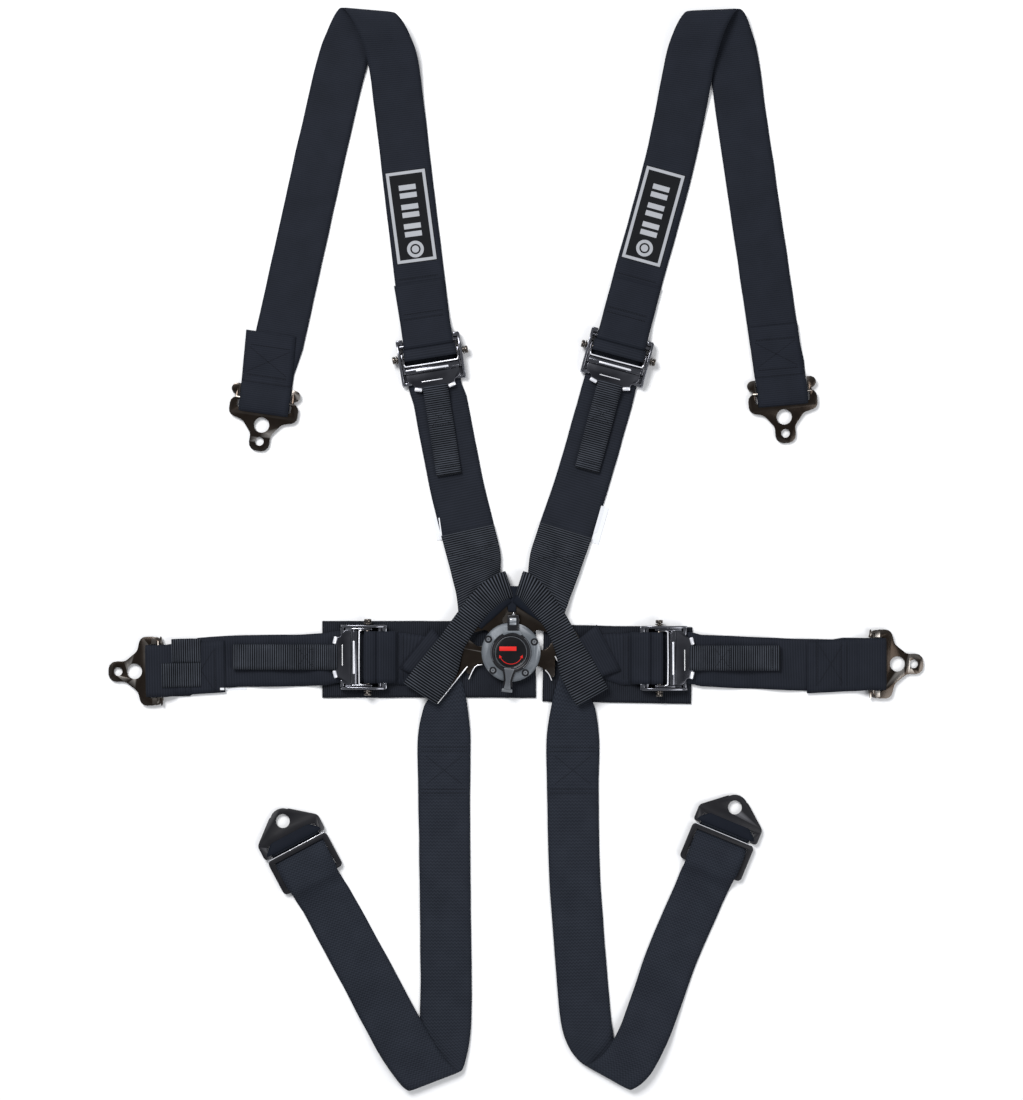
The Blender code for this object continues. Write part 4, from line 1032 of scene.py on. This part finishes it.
# %% Levers
LEVER = [(-26.4, -9), (26.4, -9), (27.4, -12), (27.4, -17.5), (24.5, -20.5), (21.0, -22.5)]
LEVER += [(19.5, -26.5), (17.0, -28.5), (-17.0, -28.5), (-19.5, -26.5), (-21.0, -22.5)]
LEVER += [(-24.5, -20.5), (-27.4, -17.5), (-27.4, -12)]
ARM = [(9.2, 4.2), (11.0, 7.0), (9.2, 10.4), (4.0, 11.2), (-11.0, 10.2), (-11.0, 6.0), (2.0, 4.0)]
for key, spot in ADJUSTERS.items():
    at = spot_matrix(spot)
    body = key + "_tilt"
    parts = [plate("plate", LEVER, 5.4, 7.4, at, 0.7)]
    parts.append(bar("lip", 3.8, (-27.4, -8.2, 7.9), (27.4, -8.2, 7.9), at, 48, 1.2))
    parts += [plate("arm", ARM, *span, at, 0.5, upright=True) for span in pair(27.2, 29.2)]
    settle(fused(key + "_lever", parts), CHROME, body, "black_chrome", [key + "_adjuster_lever"])
    # The rail along the lever's front edge, the streak on the lip, the holder's two ends and the thin line at
    # the slot's edge are painted highlights in a near-white finish. The rail and the holder ends also give
    # that edge and the holder their shape.
    bend = [(27.7, 3.6, 9.6), (27.7, -0.6, 10.0), (26.2, -3.4, 10.2)]
    rail = [(-x, y, z) for x, y, z in bend] + [(0, -3.6, 10.2), *reversed(bend)]
    shine = [tube("rail", rail, 0.75, at)]
    shine.append(bar("streak", 1.25, (-16.5, -8.6, 10.75), (16.5, -8.6, 10.75), at, 24, 0.5))
    for side in (-1, 1):
        outer, inner = (20.6 * side, -26.6, 7.0), (13.4 * side, -28.6, 7.0)
        shine.append(bar("holder", 1.9, outer, inner, at, 24, 0.8))
    shine.append(bar("ridge", 0.45, (-12.5, -20.4, 7.3), (8.5, -20.4, 7.3), at, 12, 0.15))
    settle(fused(key + "_lever_shine", shine), PAINTED_HIGHLIGHT, body, "bright_steel")
print("adjusters:", len(ADJUSTERS))

# %% [markdown]
# ## Brackets, slides and tongues
# These are stamped plates. Their outlines are the solid model's own, with the burr taken off the edges.

# %% Stamped plates
HOOK = [(25.8, 2.6), (29.0, 2.0), (32.4, 3.6), (34.2, 6.5)]
HOOK += [(34.4, 9.5), (33.0, 12.6), (30.0, 14.0), (25.8, 14.2)]
WING = [(26.5, -7.0), (33.0, -7.0), (34.2, -3.0), (33.6, 0.0), (31.8, 2.6), (29.0, 4.2), (26.5, 4.6)]
SLEEVE = ((23.0, 5.0, 60.5), (26.5, 5.7, 58.0), (33.6, 4.6, 42.0))
ROD_REACH, WING_END, HOOK_SHARE = 26.8, 0.3, 0.28


def shorten(at):
    """Draws a lap bracket's hooks back to its wings, which are plain lobes."""

    def moved(place):
        local = at.inverted() @ place
        past = local.y - WING_END * MM
        if abs(local.x) > ROD_REACH * MM and past > 0:
            local.y = WING_END * MM + past * HOOK_SHARE
        return at @ local

    return moved


for side in SIDES:
    for part in ("shoulder", "lap", "leg"):
        name = f"{part}_anchor_{side}"
        leg = part == "leg"
        spot = SLIDES[side] if leg else ANCHORS[f"{part}_{side}"]
        at = spot_matrix(spot)
        finish, coat = (PAINT, "satin_black_paint") if leg else (NICKEL, "black_nickel")
        refine(name, finish, name + "_swing", coat, 0.5, shorten(at) if part == "lap" else None)
        if leg:
            route = [spot.station(*place) for place in SLEEVE]
            ribbon(name + "_sleeve", smooth(route, 5), SMOOTH, name + "_swing", spacing=1.5, wave=0.05)
        else:
            lobe = HOOK if part == "shoulder" else WING
            lobes = ([(x * way, y) for x, y in lobe] for way in (-1, 1))
            ears = [plate("ear", outline, 2.9, 5.3, at, 0.25) for outline in lobes]
            settle(fused(name + "_ears", ears), finish, name + "_swing", coat)
    refine(f"leg_slide_{side}", PAINT, slot="satin_black_paint", width=0.5)
    at = spot_matrix(SLIDES[side])
    # A thin near-white bar along each slide's top edge is a painted highlight.
    sheen = bar(f"leg_slide_{side}_edge", 0.3, (-31.5, 19.1, 5.5), (31.5, 19.1, 5.5), at, 16, 0.1)
    settle(sheen, PAINTED_HIGHLIGHT, "harness", "bright_steel")
    refine(f"shoulder_tongue_{side}", NICKEL, slot="black_nickel", width=0.4)
    refine(f"lap_tongue_{side}", NICKEL, slot="black_nickel", width=0.4)

# %% Plate between the shoulder tongues
bridge = [(-15.0, 27.0), (14.0, 27.0), (17.0, 38.0), (9.0, 55.0)]
bridge += [(3.0, 62.0), (-3.0, 62.0), (-9.0, 55.0), (-17.0, 38.0)]
bridge = plate("tongue_bridge", bridge, 4.9, 6.0, spot_matrix(BUCKLE), 0.4)
settle(bridge, NICKEL, "harness", "black_nickel")

# %% Painted highlights on the lap tongues' bars
for side in SIDES:
    eye_frame = EYES[side]
    shares = (0.02, 0.3, 0.7, 0.98)
    points = [(*eye_frame.world(0.0, share * eye_frame.length), 7.9) for share in shares]
    shine = tube(f"lap_tongue_{side}_rim_highlight", points, 0.6, Matrix.Identity(4))
    settle(shine, PAINTED_HIGHLIGHT, "harness", "bright_steel")
# Near-white tubes along the tongues' lower edges are painted highlights as well.
TONGUE_EDGE_HIGHLIGHTS = {
    "left": [(-33.8, -115.0), (-38.5, -115.5), (-41.3, -117.6), (-43.6, -121.4), (-47.2, -129.5)],
    "right": [(29.2, -120.3), (31.8, -123.0), (33.8, -126.1), (35.6, -130.8)],
}
for side, edge in TONGUE_EDGE_HIGHLIGHTS.items():
    shine = tube(f"lap_tongue_{side}_edge", [(x, y, 7.45) for x, y in edge], 0.45, Matrix.Identity(4))
    settle(shine, PAINTED_HIGHLIGHT, "harness", "bright_steel")

# %% [markdown]
# ## Buckle
# The buckle is a textured casting with a raised rim, held by four recessed screws. In its middle a black
# dial sits in a black ring, whose handle points to the wearer's lap. Turning it by hand lifts the latch pins.

# %% Buckle body
AXIS = spot_matrix(BUCKLE)
refine("buckle_base", CAST, slot="grey_cast", width=0.4)
refine("buckle_cover", CAST, slot="grey_cast", width=0.6)
seat = [(16.9, 12.4), (20.4, 12.4), (20.4, 12.8), (20.0, 13.1), (19.4, 12.9), (16.9, 12.9)]
settle(turned("dial_seat", seat, AXIS), DIAL, "harness", "gloss_black")
SCREW = [(0.0, 12.0), (0.8, 12.0), (0.9, 12.5), (1.8, 12.55), (2.1, 12.2), (2.2, 11.4), (0.0, 11.4)]
WELL = [(2.4, 11.6), (3.7, 11.6), (3.7, 12.8), (3.5, 13.0), (2.7, 13.0), (2.4, 12.7)]
for number in range(1, 5):
    low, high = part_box(f"cover_screw_{number}")
    centre = Matrix.Translation(((low.x + high.x) / 2, (low.y + high.y) / 2, 0))
    at = centre @ Matrix.Rotation(number * 0.7, 4, "Z")
    head = turned(f"screw_{number}", SCREW, at, 40)
    settle(head, HANDLE, "harness", "grey_cast", [f"cover_screw_{number}"])
    settle(turned(f"screw_well_{number}", WELL, at, 40), DIAL, "harness", "gloss_black")

# %% Dial and lever
profile = [(0.0, 16.9), (10.5, 16.8), (14.2, 16.4), (14.7, 16.75), (15.4, 16.8)]
profile += [(16.0, 16.2), (16.2, 15.2), (16.2, 13.2), (0.0, 13.2)]
settle(turned("dial_face", profile, AXIS), DIAL, "dial", "gloss_black", ["release_dial"])
profile = [(16.7, 13.2), (19.6, 13.2), (20.0, 13.8), (19.9, 15.2)]
profile += [(19.2, 15.9), (17.3, 16.0), (16.7, 15.6)]
skirt = mirrored([(6.6, -18.4), (4.9, -24.0), (4.3, -28.5), (4.9, -34.2)])
turn_back = AXIS @ Matrix.Rotation(math.radians(-6), 4, "Z")
ring = [turned("ring", profile, AXIS), plate("skirt", skirt, 13.2, 14.6, turn_back, 0.4)]
settle(fused("dial_ring", ring), DIAL, "dial", "gloss_black", ["release_lever"])


def arc(radius, height, start, end, steps):
    angles = [math.radians(start + (end - start) * i / steps) for i in range(steps + 1)]
    return [(radius * math.cos(angle), radius * math.sin(angle), height) for angle in angles]


GLINTS = ((19.5, 15.75, -52, 46), (15.75, 16.7, -80, 270), (19.6, 15.6, 150, 205))
glint = [tube("glint", arc(*curve, 40), 0.27, AXIS) for curve in GLINTS]
settle(fused("dial_glint", glint), HANDLE, "dial", "grey_cast")
grip = mirrored([(5.6, -15.9), (5.0, -17.4), (3.6, -22.0), (2.5, -28.0), (2.9, -33.0), (3.7, -37.0)])
handle = [plate("grip", grip, 13.6, 16.3, turn_back, 0.8)]
handle.append(box_between("foot", (-5.3, -39.9, 13.1), (5.3, -36.6, 15.0), turn_back, 0.5))
settle(fused("dial_handle", handle), HANDLE, "dial", "grey_cast")
refine("release_cam", STEEL, "dial", "bright_steel", 0.15)
for number in range(1, 5):
    refine(f"latch_pin_{number}", STEEL, "pins", "bright_steel", 0.3)
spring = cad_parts["return_spring"].data.materials
spring.clear()
spring.append(STEEL)

# %% Clip above the dial
block = box_between("clip_block", (-3.6, 21.6, 13.0), (7.8, 37.2, 15.6), AXIS, 0.9)
settle(block, DIAL, "harness", "gloss_black", ["dial_clip"])
barrel = [box_between("barrel", (-1.5, 27.2, 15.2), (5.3, 34.4, 16.6), AXIS, 0.6)]
barrel.append(bar("roller", 1.0, (-1.5, 30.6, 16.1), (5.3, 30.6, 16.1), AXIS, 24))
settle(fused("clip_barrel", barrel), CAST, "harness", "grey_cast")
shine = [bar("spring", 0.5, (-1.0, 32.6, 16.5), (4.6, 32.6, 16.5), AXIS, 12)]
shine.append(plate("tip", [(0.6, 36.6), (4.4, 36.6), (2.6, 40.4)], 13.2, 15.0, AXIS, 0.4))
settle(fused("clip_shine", shine), STEEL, "harness", "bright_steel")
collar = [(-8.2, 18.0), (-6.2, 21.6), (9.0, 21.6), (11.2, 17.6), (9.4, 16.9)]
collar += [(5.4, 18.9), (1.5, 19.5), (-2.4, 19.0), (-6.8, 17.2)]
settle(plate("clip_collar", collar, 16.1, 16.9, AXIS, 0.3), CAST, "harness", "grey_cast")

# %% [markdown]
# The dial is printed with a red sweep and two arrowheads that show the way it turns, and a plain red bar.

# %% Dial marks
SWEEP_RADIUS = 11.6
marks = [tube("sweep", arc(SWEEP_RADIUS, 16.83, 205, 335, 24), 0.34, AXIS)]
for angle, lean in ((202, -1), (338, 1)):
    out = Vector((math.cos(math.radians(angle)), math.sin(math.radians(angle))))
    centre = out * SWEEP_RADIUS
    ahead = Vector((out.y, -out.x)) * -lean
    outline = [tuple(centre + step) for step in (ahead * 2.0, out * 1.6 - ahead, -out * 1.6 - ahead)]
    marks.append(plate("arrow", outline, 16.5, 17.0, AXIS, 0.1))
marks.append(box_between("mark", (-11.6, 1.6, 16.6), (5.4, 5.9, 17.0), AXIS, 0.12))
settle(fused("dial_marks", marks), RED, "dial", "gloss_black")
print("buckle finished")

# %% [markdown]
# ## Sewing
# The ends of every belt are held by rows of zigzag stitching. Each stitch is one small lozenge of thread that
# lies on the cloth, found by dropping a ray on the belt below it. Two straight rows of the same dark thread on
# each shoulder bracket are painted shadow, not stitching.


# %% Finding the cloth
def ground(objects, x, y, start=0.05):
    best = 0.0
    for cloth in objects:
        hit, place, _, _ = cloth.ray_cast(Vector((x * MM, y * MM, start)), Vector((0, 0, -1)))
        if hit:
            best = max(best, place.z / MM)
    return best


def zigzag(spot, left, right, along, swing, pitch):
    count = max(2, round((right - left) / pitch))
    steps = [(left + (right - left) * i / count, swing if i % 2 else -swing) for i in range(count + 1)]
    return [spot.point(across, along + sway) for across, sway in steps]


def bands(spot, half, places, swing, pitch=1.7):
    return [zigzag(spot, -half, half, along, swing, pitch) for along in places]


def crossed(spot, half, across, along, lean, pitch=1.6):
    middle = spot.point(across, along)
    leaning = [Spot(*middle, spot.turn + way) for way in (lean, -lean)]
    return [zigzag(row, -half, half, 0, 0.5, pitch) for row in leaning]


THREAD_RADIUS = 0.34
STITCH_GAP = 0.25


def sew(name, rows, cloths, body="harness"):
    """One object that holds a lozenge for each stitch of every row."""
    bm = bmesh.new()
    made = 0
    for row in rows:
        for here, there in zip(row, row[1:]):
            span = Vector(there) - Vector(here)
            if span.length < 0.3:
                continue
            ahead = span.normalized()
            beside = Vector((-ahead.y, ahead.x)) * THREAD_RADIUS
            ends = []
            for share in (STITCH_GAP / 2, 1 - STITCH_GAP / 2):
                spot = Vector(here) + span * share
                ends.append(Vector((spot.x, spot.y, ground(cloths, spot.x, spot.y))))
            if min(end.z for end in ends) < 0.5 or abs(ends[0].z - ends[1].z) > 1.2:
                continue
            middle = (ends[0] + ends[1]) / 2
            sides = [middle + Vector((*(beside * way), 0.05)) for way in (-1, 1)]
            top, bottom = middle + Vector((0, 0, 0.42)), middle - Vector((0, 0, 0.3))
            ring = [bm.verts.new(place * MM) for place in (ends[0], sides[0], ends[1], sides[1])]
            caps = [bm.verts.new(place * MM) for place in (top, bottom)]
            for i in range(4):
                for cap in caps:
                    bm.faces.new((ring[i], ring[(i + 1) % 4], cap))
            made += 1
    piece = built(name, bm)
    piece.data.uv_layers.new(name="UVMap")
    piece.data.shade_smooth()
    settle(piece, THREAD, body, "webbing")
    print(f"{name}: {made} stitches")


# %% Rows on every belt
SEAMS = {
    "left": (Spot(-97.0, 266.0, 8.0), Spot(-46.0, 2.0, 12.0), Spot(-72.0, -216.0, 0.0)),
    "right": (Spot(119.0, 266.0, -15.0), Spot(47.0, 2.0, -17.0), Spot(57.0, -216.0, 0.0)),
}
for side, (belt, join, leg) in SEAMS.items():
    rows = bands(belt, 20, (-34.0, -29.0, 2.0, 6.5), 1.3)
    bracket = ANCHORS["shoulder_" + side]
    rows += [zigzag(bracket, -22, 18, along, 1.2, 1.7) for along in (24.0, 54.0)]
    # These two straight rows of dark thread, where the belt rises over the rod, are a painted shadow line
    # along that crease.
    rows += [zigzag(bracket, -25, 24, along, 0.05, 1.5) for along in (16.6, 17.4)]
    rows += crossed(bracket, 24, -2.5, 39.0, 32)
    sew(f"upper_belt_{side}_sewing", rows, [upper_belts[side]])

    rows = bands(join, 23, (-2.0, 0.5), 0.5, 1.6) + crossed(join, 22, 0, -10, 20)
    sew(f"lower_strap_{side}_sewing", rows, [lower_straps[side], turned_back[side]])

    bracket = ANCHORS["lap_" + side]
    rows = bands(bracket, 22, (26.0, 32.0, 56.0), 1.2) + crossed(bracket, 23, 0, 42.0, 32)
    sew(f"lap_belt_{side}_sewing", rows, [lap_belts[side]])
    rows = bands(ADJUSTERS["lap_" + side], 22, (36.0, 40.0), 0.8)
    sew(f"lap_belt_sewn_{side}_sewing", rows, [sewn_belts[side]])

    pad, length = PADS[side]
    half = length / 2 - 1.0
    rows = bands(pad, half, (-36.6, 36.6), 0.05, 2.6)
    outer = pad.point((4.0 - half) if side == "left" else (half - 4.0), 0)
    rows.append(zigzag(Spot(*outer, pad.turn + 90), -36, 36, 0, 0.05, 2.6))
    sew(f"pad_{side}_sewing", rows, [pads[side]])

    rows = bands(leg, 23, (18.0, 14.0, -24.0, -28.0), 1.0, 1.8) + crossed(leg, 23, 0, -5, 38, 1.7)
    sew(f"leg_strap_{side}_sewing", rows, [leg_straps[side]])
for key, spot in ADJUSTERS.items():
    rows = bands(spot, 10, (-50.0, -66.0, -108.0), 0.5, 1.6) + crossed(spot, 12, 0, -58.0, 38)
    sew(key + "_tab_sewing", rows, [tabs[key]], key + "_tilt")

# %% [markdown]
# ## Labels and tags
# Each shoulder belt carries a sewn black label with a silver frame. What is printed on it is left plain: three
# pairs of bars and a ringed disc stand in for the print. White folded tags are caught in the seams.


# %% Patches that follow the cloth
PATCH_STEP = 4.0


def patch(name, spot, corner, size, cloths, lift, finish, slot="webbing", replaces=()):
    """A thin sheet that lies on the cloth: a grid is dropped on it, then given a thickness."""
    columns, rows = (max(1, math.ceil(length / PATCH_STEP)) for length in size)
    bm = bmesh.new()
    uv_layer = bm.loops.layers.uv.new("UVMap")
    layers = []
    for thick in (-0.35, lift):
        grid = []
        for r in range(rows + 1):
            along = corner[1] + size[1] * r / rows
            line = []
            for c in range(columns + 1):
                across = corner[0] + size[0] * c / columns
                x, y = spot.point(across, along)
                place = Vector((x, y, ground(cloths, x, y) + thick)) * MM
                line.append((bm.verts.new(place), (across * MM, along * MM)))
            grid.append(line)
        layers.append(grid)
    low, high = layers
    for grid in layers:
        for near, far in zip(grid, grid[1:]):
            for c in range(columns):
                add_face(bm, uv_layer, (near[c], near[c + 1], far[c + 1], far[c]))
    for c in range(columns):
        for r in (0, rows):
            add_face(bm, uv_layer, (low[r][c], low[r][c + 1], high[r][c + 1], high[r][c]))
    for r in range(rows):
        for c in (0, columns):
            add_face(bm, uv_layer, (low[r][c], low[r + 1][c], high[r + 1][c], high[r][c]))
    return settle(built(name, bm), finish, "harness", slot, replaces)


# %% Labels
LABELS = {
    "left": (Spot(-105.0, 333.5, 7.6), 41.0, 93.0),
    "right": (Spot(137.5, 333.5, -15.5), 41.0, 96.0),
}
RIM = 3.0
for side, (spot, wide, tall) in LABELS.items():
    on = [upper_belts[side]]
    corner, size = (-wide / 2, -tall / 2), (wide, tall)
    solid = [f"shoulder_label_{side}"]
    patch(f"label_{side}", spot, corner, size, on, 0.35, PATCH, "gloss_black", solid)
    x, y = wide / 2 - 0.8, tall / 2 - 0.8
    strips = [((-x, bottom), (2 * x, RIM)) for bottom in (-y, y - RIM)]
    strips += [((start, RIM - y), (RIM, 2 * y - 2 * RIM)) for start in (-x, x - RIM)]
    for row in range(3):
        top = 32.0 - 19.5 * row
        strips += [((-8.5, top - 5.2), (17.0, 5.2)), ((-8.5, top - 13.2), (17.0, 5.2))]
    shapes = [patch("print", spot, *strip, on, 0.5, PRINT, "silver_print") for strip in strips]
    disc_x, disc_y = spot.point(0.0, -33.0)
    lying = Matrix.Translation((disc_x * MM, disc_y * MM, ground(on, disc_x, disc_y) * MM))
    shapes.append(turned("disc", [(5.2, 0.0), (8.4, 0.0), (8.4, 0.5), (5.2, 0.5)], lying, 48))
    shapes.append(turned("dot", [(0.0, 0.5), (3.6, 0.5), (3.6, 0.0), (0.0, 0.0)], lying, 32))
    for shape in shapes:
        if not shape.data.uv_layers:
            shape.data.uv_layers.new(name="UVMap")
    settle(fused(f"label_{side}_print", shapes), PRINT, "harness", "silver_print")

# %% White tags
TAGS = {
    "tag_lower_left": (Spot(-78.0, 20.5, 8.0), 6.0, 22.0, [lower_straps["left"]]),
    "tag_lower_right": (Spot(84.0, 24.5, -16.0), 8.0, 38.0, [lower_straps["right"]]),
    "tag_lap_left": (Spot(-283.0, -139.5, 0.0), 26.0, 2.2, [lap_belts["left"]]),
}
for name, (spot, wide, tall, cloths) in TAGS.items():
    patch(name, spot, (-wide / 2, -tall / 2), (wide, tall), cloths, 0.45, TAG)
print("labels and tags done")
